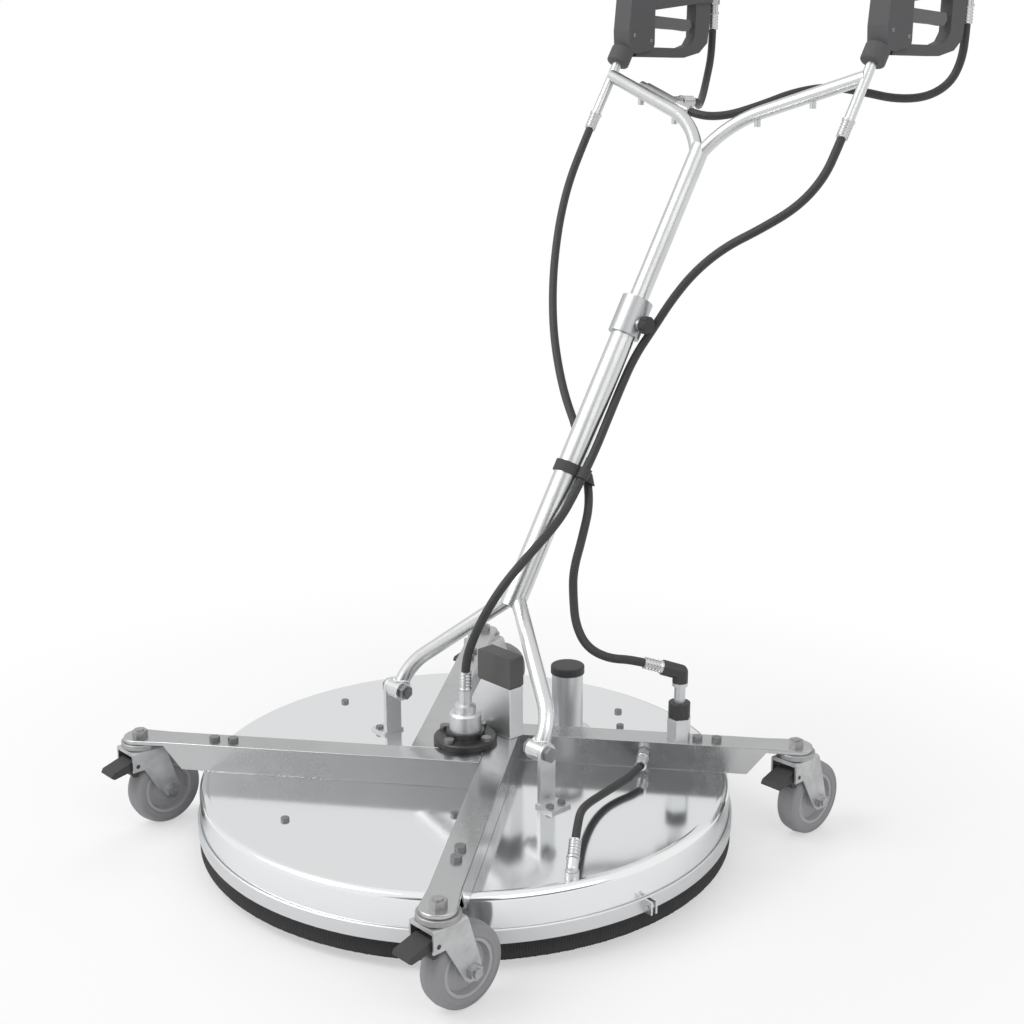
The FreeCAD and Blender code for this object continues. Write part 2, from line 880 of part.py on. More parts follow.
def make_bolts():
    """Flange bolts, arm bolts and the two pivot bolts of the handle fork."""
    arm_top = size["deck_top"] + size["arm_width"]
    bolts = [bolt(spot, number(size["flange_thickness"])) for spot in flange_bolts()]
    for angle in CASTORS.values():
        for reach in (325.0, 352.0):
            spot = on_arm(angle, reach, size["arm_offset"], arm_top)
            bolts.append(hexagon(spot, Vector(0, 0, 1), BOLT_FLATS, BOLT_HEAD))
    inner = number(size["eye_half"]) + number(size["side_play"])
    outer = inner + number(size["lug_thickness"])
    for side in (-1, 1):
        centre = point(side * size["pivot_half_span"], 0, size["pivot_height"])
        outward = Vector(side, 0, 0)
        ends = centre - outward * (inner + 10), centre + outward * (outer + 7)
        head = hexagon(centre + outward * outer, outward, size["nut_flats"], 7)
        nut = hexagon(centre - outward * (inner + 8), outward, size["nut_flats"], 8)
        shank = rod(*ends, size["pivot_pin_radius"])
        bolts.append(shank.fuse([head, nut]).removeSplitter())
        for y in (-11, 11):
            foot = centre + outward * (outer + 15)
            seat = point(foot.x, y, size["deck_top"] + 4)
            bolts.append(hexagon(seat, Vector(0, 0, 1), DECK_BOLT_FLATS, 4))
    for x, y in DECK_BOLTS:
        seat = point(x, y, size["deck_top"])
        bolts.append(hexagon(seat, Vector(0, 0, 1), DECK_BOLT_FLATS, 4))
    shaped("chassis_bolts", Part.makeCompound(bolts))


def make_brackets():
    """Two angle lugs on the deck, outboard of the handle's eyes."""
    top, sheet_t = size["deck_top"], size["lug_thickness"]
    round_r, height = size["lug_radius"], size["pivot_height"]
    lugs = []
    for name, turn in (("right", 0), ("left", 180)):
        body = new_body("lug_" + name)
        near = size["pivot_half_span"] + size["eye_half"] + size["side_play"]
        far = near + sheet_t
        front = [
            (near, top),
            (far + size["lug_foot"], top),
            (far + size["lug_foot"], top + 4),
            (far, top + 4),
            (far, height + round_r),
            (near, height + round_r),
        ]
        sketch = outline(body, "XZ_Plane", front)
        feature(body, "Pad", sketch, Length=2 * round_r + 8, Midplane=True)
        volume_of(body)
        for sign in (-1, 1):
            inner, outer = sign * round_r, sign * (round_r + 6)
            corners = box_corners(inner, top + 4, outer, height + 2 * round_r)
            cut(body, "YZ_Plane", corners, 4 * far)
        soften(body, round_r - 0.5, along("x", z=height + round_r))
        cut_round(body, "YZ_Plane", (0, height), size["pivot_pin_radius"], 4 * far)
        body.Placement = Placement(Vector(), Rotation(Vector(0, 0, 1), turn))
        lugs.append(body)
    doc.recompute()
    pair = doc.addObject("Part::Compound", "pivot_brackets")
    pair.Links = lugs
    node(pair, "pivot_brackets")


def make_port():
    """Capped extraction stub behind the swivel."""
    top, radius = size["deck_top"], size["port_radius"]
    height = size["port_height"]
    place = Placement(point(size["port_side"], size["port_setback"], 0), Rotation())
    port = turned(
        "port",
        [
            (radius - 3, top),
            (radius + 12, top),
            (radius + 12, top + 4),
            (radius, top + 4),
            (radius, top + height),
            (radius - 3, top + height),
        ],
    )
    node(port, "suction_port", place)
    cap_low = top + height
    cap = turned(
        "cap",
        [
            (0, cap_low),
            (radius + 2, cap_low),
            (radius + 2, cap_low + size["cap_height"]),
            (0, cap_low + size["cap_height"]),
        ],
    )
    soften(cap, 2.5, ring_at(radius + 2, cap_low + size["cap_height"]))
    node(cap, "suction_cap", place)


def make_coupling():
    """Edge-jet fittings: arm block with nipple, side outlet and deck ferrule."""
    arm_top = size["deck_top"] + size["arm_width"]
    up = Vector(0, 0, 1)
    at = coupling_axis() + up * number(arm_top)
    base = hexagon(at, up, 30, COLLAR_FOOT)
    stem = Part.makeCylinder(8, ELBOW_FOOT - COLLAR_FOOT, at + up * COLLAR_FOOT)
    lip = Part.makeCylinder(11, 5, at + up * (ELBOW_FOOT - 5))
    outlet = hexagon(edge_outlet(), arm_outward("rear_right"), 15, 9)
    ferrule = Part.makeCylinder(9, 8, point(*edge_hole, size["deck_top"]))
    knee = point(*edge_hole, size["deck_top"] + 10.5)
    heading = Vector(*EDGE_END_HEADING)
    heading.normalize()
    socket = rod(knee, knee + heading * 12, 7.5)
    ferrule = ferrule.fuse([Part.makeSphere(7.5, knee), socket]).removeSplitter()
    upper = base.fuse([stem, lip]).removeSplitter()
    shaped("jet_fittings", Part.makeCompound([upper, outlet, ferrule]))
    make_elbow(at)


def make_elbow(at):
    """Dark knurled collar on the nipple, and the elbow that takes the hose."""
    up = Vector(0, 0, 1)
    collar = Part.makeCylinder(15.5, COLLAR_HEIGHT, at + up * COLLAR_FOOT)
    collar = collar.cut(Part.makeCylinder(8, COLLAR_HEIGHT, at + up * COLLAR_FOOT))
    rims = [e for e in collar.Edges if isinstance(e.Curve, Part.Circle) and e.Curve.Radius > 15]
    collar = collar.makeFillet(1.5, rims)
    knee = at + up * (ELBOW_FOOT + 15)
    heading = Vector(*ELBOW_HEADING)
    heading.normalize()
    elbow = Part.makeCylinder(11, 15, at + up * ELBOW_FOOT)
    elbow = elbow.fuse([Part.makeSphere(11, knee), rod(knee, knee + heading * ELBOW_REACH, 11)])
    shaped("jet_collar", Part.makeCompound([collar, elbow.removeSplitter()]))


def coupling_axis():
    return on_arm(CASTORS["rear_right"], size["coupling_reach"], size["coupling_side"], 0)


def make_catch():
    """Pedestal behind the swivel with a dark rubber rest on top."""
    base = size["deck_top"] + size["arm_width"]
    half, deep, tall = size["catch_width"] / 2, size["catch_depth"] / 2, size["catch_height"]
    place = Placement(point(size["catch_side"], size["catch_setback"], 0), Rotation())
    front = [
        (0 - half - 6, base),
        (half, base),
        (half, base + tall),
        (0 - half + 14, base + tall),
        (0 - half - 6, base + tall * 0.55),
    ]
    pedestal = extruded("pedestal", "XZ_Plane", front, 2 * deep)
    cut(pedestal, "YZ_Plane", box_corners(3 - deep, base - 1, deep + 9, base + tall - 3), 2 * half - 10)
    node(pedestal, "catch_pedestal", place)
    top = base + tall
    block = extruded(
        "block", "XZ_Plane", box_corners(8 - half, top, half, top + size["block_height"]), 2 * deep
    )
    soften(block, 4.0, along("y"))
    node(block, "catch_block", place)


# ---- handle --------------------------------------------------------------------------


def make_handle_fork():
    """Mast tube on two legs, each bent straight at its foot and ending in a pivot eye."""
    span, apex = size["pivot_half_span"], size["apex_length"]
    across = Vector(number(size["eye_half"]), 0, 0)
    mast = rod(handle_point(0, apex - 20), handle_point(0, size["mast_length"]), size["mast_radius"])
    pieces = []
    holes = []
    for side in (-1, 1):
        foot = handle_point(side * span, 0)
        knee = handle_point(side * span, size["leg_straight"])
        pieces.append(swept([foot, knee, handle_point(0, apex)], size["leg_radius"], 0.8)[0])
        pieces.append(rod(foot - across, foot + across, size["eye_radius"]))
        bore = size["pivot_pin_radius"] + size["shaft_play"]
        holes.append(rod(foot - across * 2, foot + across * 2, bore))
    bore = size["inner_tube_radius"] + size["tube_play"]
    start = handle_point(0, size["mast_bore_start"])
    holes.append(rod(start, handle_point(0, size["mast_length"] + 10), bore))
    shape = mast.fuse(pieces).removeSplitter()
    shaped("handle_fork", shape.cut(holes).removeSplitter())


def make_collar():
    """Clamp collar over the mast's mouth, and the hand screw that tightens it."""
    start, end = collar_start, size["mast_length"] + size["collar_lip"]
    inner = size["inner_tube_radius"] + size["tube_play"]
    collar = rod(handle_point(0, start), handle_point(0, end), size["collar_radius"])
    screw_length = number(start) + 20
    ear_out = Vector(1, 0, 0)
    side = number(size["collar_radius"])
    ear = rod(handle_point(side - 8, screw_length), handle_point(side + 4, screw_length), 9)
    collar = collar.fuse(ear)
    seat = handle_point(0, size["mast_length"])
    collar = collar.cut(rod(handle_point(0, start), seat, size["mast_radius"]))
    collar = collar.cut(rod(seat, handle_point(0, end), inner))
    reach = number(size["mast_radius"])
    hole = rod(handle_point(reach - 2, screw_length), handle_point(side + 12, screw_length), 4.05)
    shaped("clamp_collar", collar.cut(hole).removeSplitter())
    stem = rod(handle_point(reach + 0.3, screw_length), handle_point(side + 8, screw_length), 4)
    knob = rod(handle_point(side + 4.3, screw_length), handle_point(side + 18, screw_length), 13)
    rims = [e for e in knob.Edges if isinstance(e.Curve, Part.Circle)]
    knob = knob.makeFillet(3, rims)
    for index in range(6):
        turn = Rotation(ear_out, 60 * index)
        offset = turn.multVec(Vector(0, 0, 15.5))
        near = handle_point(side, screw_length) + offset
        far = handle_point(side + 30, screw_length) + offset
        flute = rod(near, far, 5)
        knob = knob.cut(flute)
    shaped("clamp_knob", knob.fuse(stem).removeSplitter())


# Where the clip holds each hose, and which way the hose runs through it there: to the
# side, along the handle, off its plane.
CLIP_SEATS = {"rotor": (27.0, 6.0), "jet": (14.0, 28.0)}
CLIP_HEADINGS = {"rotor": (0.04, -0.985, -0.12), "jet": (0.63, -0.776, 0.0)}


def clip_spot(name, run=0.0):
    """A place on a hose's line through the clip, this far past the middle of the clip."""
    side, lift = CLIP_SEATS[name]
    step = Vector(*CLIP_HEADINGS[name])
    step.normalize()
    return handle_point(
        side + run * step.x, size["clip_length"] + run * step.y, lift + run * step.z
    )


def make_clip():
    """Strap clip round the mast that holds both hoses."""
    length, half = number(size["clip_length"]), number(size["clip_width"]) / 2
    foot, head = handle_point(0, length - half), handle_point(0, length + half)
    hole = number(size["hose_radius"])
    clip = rod(foot, head, number(size["mast_radius"]) + 3)
    slab = rod(foot, head, 90)
    for name in CLIP_SEATS:
        clip = clip.fuse(rod(clip_spot(name, -40), clip_spot(name, 40), hole + 3).common(slab))
    side, lift = CLIP_SEATS["jet"]
    web = handle_point(0.78 * side, length - half, 0.78 * lift)
    clip = clip.fuse(rod(web, web + head - foot, 6))
    for name in CLIP_SEATS:
        clip = clip.cut(rod(clip_spot(name, -50), clip_spot(name, 50), hole))
    slack = (head - foot) * 0.2
    clip = clip.cut(rod(foot - slack, head + slack, size["mast_radius"]))
    shaped("hose_clip", clip.removeSplitter())


def make_handlebar():
    """Sliding tube, Y branches and the two lances that end in the guns."""
    radius, wall = size["inner_tube_radius"], size["inner_tube_wall"]
    start, end = size["inner_tube_start"], size["inner_tube_end"]
    parts = []
    branch = number(size["branch_radius"])
    for side in (-1, 1):
        route = [
            handle_point(side * 2.0, number(end) - 14),
            handle_point(side * size["branch_bend_half"], size["branch_bend_length"]),
            handle_point(side * size["gun_half_span"], size["branch_end_length"]),
        ]
        parts.append(swept(route, branch, 0.8)[0])
        lance = (
            handle_point(side * size["gun_half_span"], size["lance_start"]),
            handle_point(side * size["gun_half_span"], size["lance_end"]),
        )
        parts.append(rod(*lance, size["lance_radius"]))
        for spot in (80.0, 165.0):
            share = (spot - number(size["branch_bend_half"])) / (
                number(size["gun_half_span"]) - number(size["branch_bend_half"])
            )
            rise = number(size["branch_end_length"]) - number(size["branch_bend_length"])
            at = handle_point(side * spot, number(size["branch_bend_length"]) + share * rise)
            parts.append(rod(at, at - Vector(0, 0, branch + 9), 4.5))
    tube = rod(handle_point(0, start), handle_point(0, end), radius)
    shape = tube.fuse(parts).removeSplitter()
    bore = rod(handle_point(0, start), handle_point(0, number(end) - 40), radius - wall)
    shaped("handlebar", shape.cut(bore))


# ---- trigger guns --------------------------------------------------------------------

TRIGGER_PIVOT = (50.0, 66.0)
INLET_LENGTH = 22.0


def make_gun(name, side):
    """Gun body: barrel casing, grip, closed hand guard, outlet nut."""
    outlet = handle_point(side * size["gun_half_span"], size["lance_end"])
    gun = new_body("gun_casing_" + name)
    casing = outline(
        gun,
        "YZ_Plane",
        [(2, 6), (0, 36), (6, 92), (16, 113), (66, 116), (66, 22), (56, 8), (22, 2)],
    )
    feature(gun, "Pad", casing, Length=size["gun_width"], Midplane=True)
    volume_of(gun)
    soften(gun, 9.0, along("z", y=66))
    soften(gun, 7.0, along("x", y=16))
    grip = outline(
        gun,
        "YZ_Plane",
        [(50, 68), (90, 72), (170, 82), (204, 84), (206, 92), (238, 92), (240, 106), (228, 118), (50, 117)],
    )
    feature(gun, "Pad", grip, Length=size["grip_width"], Midplane=True)
    loop = outline(
        gun,
        "YZ_Plane",
        [(24, -3), (140, -4), (178, 4), (198, 20), (203, 56), (203, 100), (170, 100), (50, 90), (30, 30)],
        None,
        [[(64, 12), (136, 11), (156, 17), (166, 30), (167, 86), (64, 73)]],
    )
    feature(gun, "Pad", loop, Length=size["guard_width"], Midplane=True)
    volume_of(gun)
    slot = box_corners(38, 34, 70, 82)
    cut(gun, "YZ_Plane", slot, size["trigger_width"] + 1)
    pin = size["pedal_pin_radius"] + size["shaft_play"]
    cut_round(gun, "YZ_Plane", TRIGGER_PIVOT, pin, size["gun_width"] - 6)
    gun.Placement = Placement(outlet, Rotation())
    doc.recompute()
    half = number(size["gun_nut_length"]) / 2
    length = number(size["lance_end"])
    x = side * size["gun_half_span"]
    nut = rod(handle_point(x, length - half - 3), handle_point(x, length + half - 3), size["gun_nut_radius"])
    rims = [e for e in nut.Edges if isinstance(e.Curve, Part.Circle)]
    nut = nut.makeFillet(3, rims)
    socket = rod(handle_point(x, length - 40), handle_point(x, length), size["lance_radius"])
    shell = gun.Shape.fuse(nut).cut(socket).removeSplitter()
    shaped("gun_" + name, shell)
    pivot_y, pivot_z = TRIGGER_PIVOT
    trigger = extruded(
        "trigger_" + name,
        "YZ_Plane",
        [
            (pivot_y - 8, pivot_z - 6),
            (pivot_y - 8, pivot_z + 8),
            (pivot_y + 6, pivot_z + 9),
            (pivot_y + 22, pivot_z - 5),
            (pivot_y + 108, pivot_z - 10),
            (pivot_y + 112, pivot_z - 20),
            (pivot_y + 104, pivot_z - 28),
            (pivot_y + 80, pivot_z - 26),
            (pivot_y + 24, pivot_z - 24),
            (pivot_y + 6, pivot_z - 16),
        ],
        size["trigger_width"],
    )
    soften(trigger, 2.0, along("x"))
    pin = new_round(trigger, "YZ_Plane", TRIGGER_PIVOT, size["pedal_pin_radius"])
    feature(trigger, "Pad", pin, Length=size["gun_width"] - 8, Midplane=True)
    volume_of(trigger)
    node(trigger, "trigger_" + name, Placement(outlet, Rotation()))


def gun_inlet(side):
    outlet = handle_point(side * size["gun_half_span"], size["lance_end"])
    return outlet + point(0, size["gun_inlet_setback"], 92)


def make_inlets():
    """Steel swivel fitting under the rear of each gun, for its feed hose."""
    fittings = []
    for side in (-1, 1):
        at = gun_inlet(side)
        down = Vector(0, 0, -1)
        nut = hexagon(at, down, 19, 10)
        sleeve = Part.makeCylinder(8, INLET_LENGTH - 10, at + down * 10, down)
        fittings.append(nut.fuse(sleeve).removeSplitter())
    shaped("gun_inlets", Part.makeCompound(fittings))


def branch_point(x):
    """A place on the straight part of a Y branch."""
    bend, end = number(size["branch_bend_half"]), number(size["gun_half_span"])
    share = (abs(x) - bend) / (end - bend)
    low, high = number(size["branch_bend_length"]), number(size["branch_end_length"])
    return handle_point(x, low + share * (high - low))


MANIFOLD_OUTER = -172.0
MANIFOLD_INNER = -92.0


def manifold_line():
    """Inner and outer ends of the tee's body, and the direction from one to the other."""
    shift = Vector(0, number(size["manifold_setback"]), 3)
    inner, outer = branch_point(MANIFOLD_INNER) + shift, branch_point(MANIFOLD_OUTER) + shift
    heading = outer - inner
    heading.normalize()
    return inner, outer, heading


def manifold_port():
    """Where the left gun's feed hose leaves the tee."""
    inner, _, heading = manifold_line()
    return inner + heading * 22 + Vector(0, 22, 0)


def make_manifold():
    """Feed tee behind the left branch: supply stub, branch port and inner end."""
    inner, outer, heading = manifold_line()
    body = rod(inner, outer, size["manifold_radius"])
    stub = rod(outer, outer + heading * number(size["supply_stub_length"]), size["supply_stub_radius"])
    port = rod(inner + heading * 22, manifold_port(), 8)
    shaped("feed_manifold", body.fuse([stub, port]).removeSplitter())


# ---- hoses ---------------------------------------------------------------------------

EDGE_OUTLET_REACH = 250.0
EDGE_OUTLET_HEIGHT = 121.0


def make_hoses():
    """Five hoses; the two long ones are parted where the clip holds them."""
    thick, thin = size["hose_radius"], size["edge_hose_radius"]
    reach, low = size["gun_half_span"], size["lance_start"]
    rotor_seat, jet_seat = clip_spot("rotor"), clip_spot("jet")
    rotor_top = [
        (reach, low, 0),
        (reach, 915, 0),
        (236, 868, 4),
        (214, 822, 2),
        (176, 780, -8),
        (132, 745, -14),
        (92, 708, -8),
        (58, 668, 6),
        (30, 624, 22),
        (16, 575, 22),
        (18, 520, 18),
        (24, 460, 12),
    ]
    rotor_top = [handle_point(*spot) for spot in rotor_top]
    hose("rotor_hose_upper", rotor_top + [clip_spot("rotor", -36), rotor_seat], thick)
    rotor_foot = [
        (35, 148, 444),
        (38, 108, 420),
        (36, 74, 396),
        (30, 44, 368),
        (21, 22, 334),
        (10, 7, 296),
        (0, 0, number(size["inlet_top"] + 39)),
        (0, 0, number(size["inlet_top"])),
    ]
    rotor_foot = [clip_spot("rotor", 40)] + [Vector(*spot) for spot in rotor_foot]
    hose("rotor_hose_lower", [rotor_seat] + rotor_foot, thick)
    jet_top = [
        (-reach, low, 0),
        (-reach, 900, 0),
        (-240, 835, 1),
        (-228, 772, 3),
        (-208, 708, 6),
        (-184, 650, 9),
        (-154, 592, 13),
        (-120, 540, 18),
        (-82, 492, 23),
    ]
    jet_top = [handle_point(*spot) for spot in jet_top]
    hose("jet_hose_upper", jet_top + [clip_spot("jet", -82), jet_seat], thick)
    knee = coupling_axis() + point(0, 0, size["deck_top"] + size["arm_width"] + ELBOW_FOOT + 15)
    heading = Vector(*ELBOW_HEADING)
    heading.normalize()
    mouth = knee + heading * ELBOW_REACH
    jet_foot = [
        clip_spot("jet", 38),
        handle_point(48, 300, 31),
        handle_point(54, 250, 33),
        Vector(63, 150, 336),
        Vector(78, 140, 302),
        Vector(102, 138, 275),
        Vector(133, 150, 263),
        mouth + heading * 42,
    ]
    hose("jet_hose_lower", [jet_seat] + jet_foot + [mouth], thick)
    outward = arm_outward("rear_right")
    outlet = edge_outlet() + outward * 9
    socket = Vector(*EDGE_END_HEADING)
    socket.normalize()
    edge_end = point(*edge_hole, size["deck_top"] + 10.5) + socket * 12
    edge = [
        outlet,
        outlet + outward * 24,
        Vector(205, 126, 117),
        Vector(208, 94, 114),
        Vector(214, 60, 114),
        Vector(226, 26, 119),
        Vector(243, -5, 127),
        Vector(264, -34, 136),
        Vector(288, -62, 143),
        edge_end + socket * 28,
        edge_end,
    ]
    hose("edge_jet_hose", edge, thin)
    left = gun_inlet(-1) - Vector(0, 0, INLET_LENGTH)
    port = manifold_port()
    inner, _, heading = manifold_line()
    feed = [
        left,
        left - Vector(0, 0, 38),
        Vector(-240, 768, 1076),
        Vector(-232, 750, 1045),
        Vector(-214, 722, 1022),
        Vector(-188, 686, 1009),
        Vector(-158, 646, 1003),
        Vector(-130, 612, 1004),
        port + Vector(0, 38, 0),
        port,
    ]
    hose("feed_hose_left", feed, thick)
    right = gun_inlet(1) - Vector(0, 0, INLET_LENGTH)
    feed = [
        right,
        right - Vector(0, 0, 38),
        Vector(238, 774, 1072),
        Vector(226, 766, 1038),
        Vector(202, 742, 1018),
        Vector(170, 708, 1016),
        Vector(138, 676, 1026),
        Vector(104, 640, 1034),
        Vector(66, 602, 1026),
        Vector(28, 568, 1006),
        Vector(-14, 538, 990),
        inner - heading * 42,
        inner,
    ]
    hose("feed_hose_right", feed, thick)


def arm_outward(where):
    """Unit direction square to an arm's right-hand face."""
    angle = CASTORS[where]
    return on_arm(angle, 0, -1, 0) - on_arm(angle, 0, 0, 0)


def edge_outlet():
    side = size["arm_offset"] - size["arm_width"] / 2
    return on_arm(CASTORS["rear_right"], EDGE_OUTLET_REACH, side, EDGE_OUTLET_HEIGHT)


# ---- the whole cleaner ---------------------------------------------------------------


def check(thing):
    if {"Invalid", "Error"} & set(thing.State):
        raise RuntimeError(f"{thing.Label} failed: {thing.State}")


def main():
    make_deck()
    make_skirt()
    make_band()
    for where, angle in CASTORS.items():
        make_arm(where, angle)
        make_castor(where, angle)
    make_heads()
    make_swivel()
    make_spray_bar()
    make_brackets()
    make_bolts()
    make_port()
    make_coupling()
    make_catch()
    make_handle_fork()
    make_collar()
    make_clip()
    make_handlebar()
    for name, side in (("left", -1), ("right", 1)):
        make_gun(name, side)
    make_inlets()
    make_manifold()
    make_hoses()
    doc.recompute()
    for thing in doc.Objects:
        check(thing)
    os.makedirs("parts", exist_ok=True)
    for thing in nodes:
        shape = thing.Shape
        if shape.isNull() or not shape.isValid() or not shape.Solids:
            raise RuntimeError(thing.Label + " has no sound shape")
        shape.exportStep(f"parts/{thing.Label}.step")
    print(len(nodes), "sub-parts")


main()
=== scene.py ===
import math

import bmesh
import bpy
import numpy as np
from mathutils import Matrix


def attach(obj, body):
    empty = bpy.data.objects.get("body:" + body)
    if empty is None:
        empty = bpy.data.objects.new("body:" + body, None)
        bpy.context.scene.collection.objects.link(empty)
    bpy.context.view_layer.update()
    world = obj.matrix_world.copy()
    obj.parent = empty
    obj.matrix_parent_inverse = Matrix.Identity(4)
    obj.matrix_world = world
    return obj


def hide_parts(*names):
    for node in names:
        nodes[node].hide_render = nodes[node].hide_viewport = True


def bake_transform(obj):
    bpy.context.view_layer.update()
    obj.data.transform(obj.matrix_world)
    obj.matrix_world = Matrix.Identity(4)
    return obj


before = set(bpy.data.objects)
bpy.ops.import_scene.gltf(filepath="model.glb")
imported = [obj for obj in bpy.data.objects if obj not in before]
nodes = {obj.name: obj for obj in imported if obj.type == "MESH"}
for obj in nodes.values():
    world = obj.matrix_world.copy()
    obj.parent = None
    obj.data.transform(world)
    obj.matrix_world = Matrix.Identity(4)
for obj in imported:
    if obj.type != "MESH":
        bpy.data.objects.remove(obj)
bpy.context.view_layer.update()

# Corners of the machine, in the order of the arms.
WHERE = ("front_right", "rear_right", "rear_left", "front_left")
# Handle coordinates: the mast leans back from the pivots' height on the deck's axis.
LEAN = math.radians(31.3)
ALONG = np.array([0.0, math.sin(LEAN), math.cos(LEAN)])
OFF = np.array([0.0, math.cos(LEAN), -math.sin(LEAN)])
PIVOT = np.array([0.0, 0.0, 0.175])


def on_handle(side, length, lift=0.0):
    """Handle coordinates in mm to metres: pivot + side X + length along the mast + lift off it."""
    return PIVOT + np.array([side / 1000, 0, 0]) + ALONG * length / 1000 + OFF * lift / 1000


def unit(vector):
    vector = np.asarray(vector, float)
    return vector / np.linalg.norm(vector)


def add_object(name, data):
    obj = bpy.data.objects.new(name, data)
    bpy.context.scene.collection.objects.link(obj)
    return obj


def corners_of(mesh):
    """Array of a mesh's vertices, one row each."""
    spots = np.zeros(len(mesh.vertices) * 3)
    mesh.vertices.foreach_get("co", spots)
    return spots.reshape(-1, 3)


def facing(place, back):
    """World matrix of a camera or lamp at place, with the unit vector back behind it."""
    right = unit(np.cross([0, 0, 1], back))
    matrix = np.eye(4)
    matrix[:3] = np.column_stack([right, np.cross(back, right), back, place])
    return Matrix(matrix.tolist())


# ---- camera --------------------------------------------------------------------------

VIEW = np.array([-0.7071, 0.6547, -0.2669])
lens = bpy.data.cameras.new("view")
lens.lens = 56.25
lens.sensor_width = 36
lens.clip_end = 100
camera = add_object("view", lens)
camera.matrix_world = facing((1.5864, -1.3790, 1.0592), unit(-VIEW))
bpy.context.scene.camera = camera


# ---- shader expressions --------------------------------------------------------------


class Value:
    """A number that changes over a surface; +, -, * and ** on it add Math nodes."""

    def __init__(self, shader, socket):
        self.shader = shader
        self.socket = socket

    def maths(self, operation, *inputs):
        """The result of a Math node on the inputs, which are values or numbers."""
        node = self.shader.node("ShaderNodeMath", {"operation": operation}, *inputs)
        return Value(self.shader, node.outputs[0])

    def __add__(self, other):
        return self.maths("ADD", self, other)

    def __radd__(self, other):
        return self.maths("ADD", other, self)

    def __sub__(self, other):
        return self.maths("SUBTRACT", self, other)

    def __rsub__(self, other):
        return self.maths("SUBTRACT", other, self)

    def __mul__(self, other):
        return self.maths("MULTIPLY", self, other)

    def __rmul__(self, other):
        return self.maths("MULTIPLY", other, self)

    def __pow__(self, other):
        return self.maths("POWER", self, other)

    def sine(self):
        return self.maths("SINE", self)

    def size(self):
        return self.maths("ABSOLUTE", self)

    def step(self, low, high):
        """0 below low, 1 above high, a smooth ramp in between."""
        ramp = self.shader.node(
            "ShaderNodeMapRange", {"interpolation_type": "SMOOTHSTEP"}, self, low, high
        )
        return Value(self.shader, ramp.outputs[0])


class Shader:
    """The node tree of a material or of the world, written as expressions."""

    def __init__(self, name, owner):
        owner.use_nodes = True
        self.name = name
        self.tree = owner.node_tree
        self.tree.nodes.clear()

    def plug(self, socket, value):
        if isinstance(value, Value):
            self.tree.links.new(value.socket, socket)
        elif isinstance(value, bpy.types.NodeSocket):
            self.tree.links.new(value, socket)
        else:
            socket.default_value = value

    def node(self, kind, settings=None, *ordered, **named):
        """A new node: its settings, then its inputs by order and by name (_ for a space)."""
        made = self.tree.nodes.new(kind)
        for key, value in (settings or {}).items():
            setattr(made, key, value)
        for socket, value in zip(made.inputs, ordered):
            if value is not None:
                self.plug(socket, value)
        for key, value in named.items():
            self.plug(made.inputs[key.replace("_", " ")], value)
        return made

    def place(self, scale=(1, 1, 1), turn=(0, 0, 0)):
        """Object coordinates, turned and stretched."""
        start = self.node("ShaderNodeTexCoord").outputs["Object"]
        moved = self.node("ShaderNodeMapping", None, start, Rotation=turn, Scale=scale)
        return moved.outputs[0]

    def axes(self, vector):
        """The three numbers of a vector."""
        split = self.node("ShaderNodeSeparateXYZ", None, vector)
        return [Value(self, output) for output in split.outputs]

    def noise(self, vector, scale, detail, rough=0.55):
        made = self.node(
            "ShaderNodeTexNoise", None, Vector=vector, Scale=scale, Detail=detail, Roughness=rough
        )
        return Value(self, made.outputs[0])

    def cells(self, vector, scale):
        """Distance to the middle of the nearest random cell."""
        made = self.node("ShaderNodeTexVoronoi", None, Vector=vector, Scale=scale)
        return Value(self, made.outputs["Distance"])

    def blend(self, share, low, high):
        """Colour low where share is 0, high where it is 1."""
        mix = self.node("ShaderNodeMix", {"data_type": "RGBA"})
        colours = [socket for socket in mix.inputs if socket.type == "RGBA"]
        self.plug(mix.inputs[0], share)
        for socket, colour in zip(colours, (low, high)):
            self.plug(socket, colour if isinstance(colour, bpy.types.NodeSocket) else (*colour, 1))
        return [socket for socket in mix.outputs if socket.type == "RGBA"][0]

    def bump(self, height, depth, strength, under=None):
        """Normals of a height that is depth metres tall, on top of the normals under it."""
        made = self.node("ShaderNodeBump", None, Strength=strength, Distance=depth, Height=height)
        if under is not None:
            self.plug(made.inputs["Normal"], under)
        return made.outputs[0]


def begin(name):
    """An empty material's shader."""
    return Shader(name, bpy.data.materials.new(name))


def finish(shader, colour, roughness, metallic, normal, **constant):
    """A Principled material; colour, roughness and normal are links, the rest are numbers.

    It is looked up by name: where the frame has a material of that name, the frame's plain
    one is what comes back, and the one made here stays unused.
    """
    body = shader.node("ShaderNodeBsdfPrincipled")
    shader.plug(body.inputs["Base Color"], colour)
    shader.plug(body.inputs["Roughness"], roughness)
    shader.plug(body.inputs["Metallic"], metallic)
    shader.plug(body.inputs["Normal"], normal)
    for key, value in constant.items():
        body.inputs[key.replace("_", " ")].default_value = value
    shader.node("ShaderNodeOutputMaterial", None, body.outputs[0])
    return bpy.data.materials[shader.name]


def shade(tone, gain, lift=0.0):
    """A tone made darker or paler: gain * tone + lift, 1 at most."""
    return tuple(min(1.0, c * gain + lift) for c in tone)


# ---- finishes ------------------------------------------------------------------------


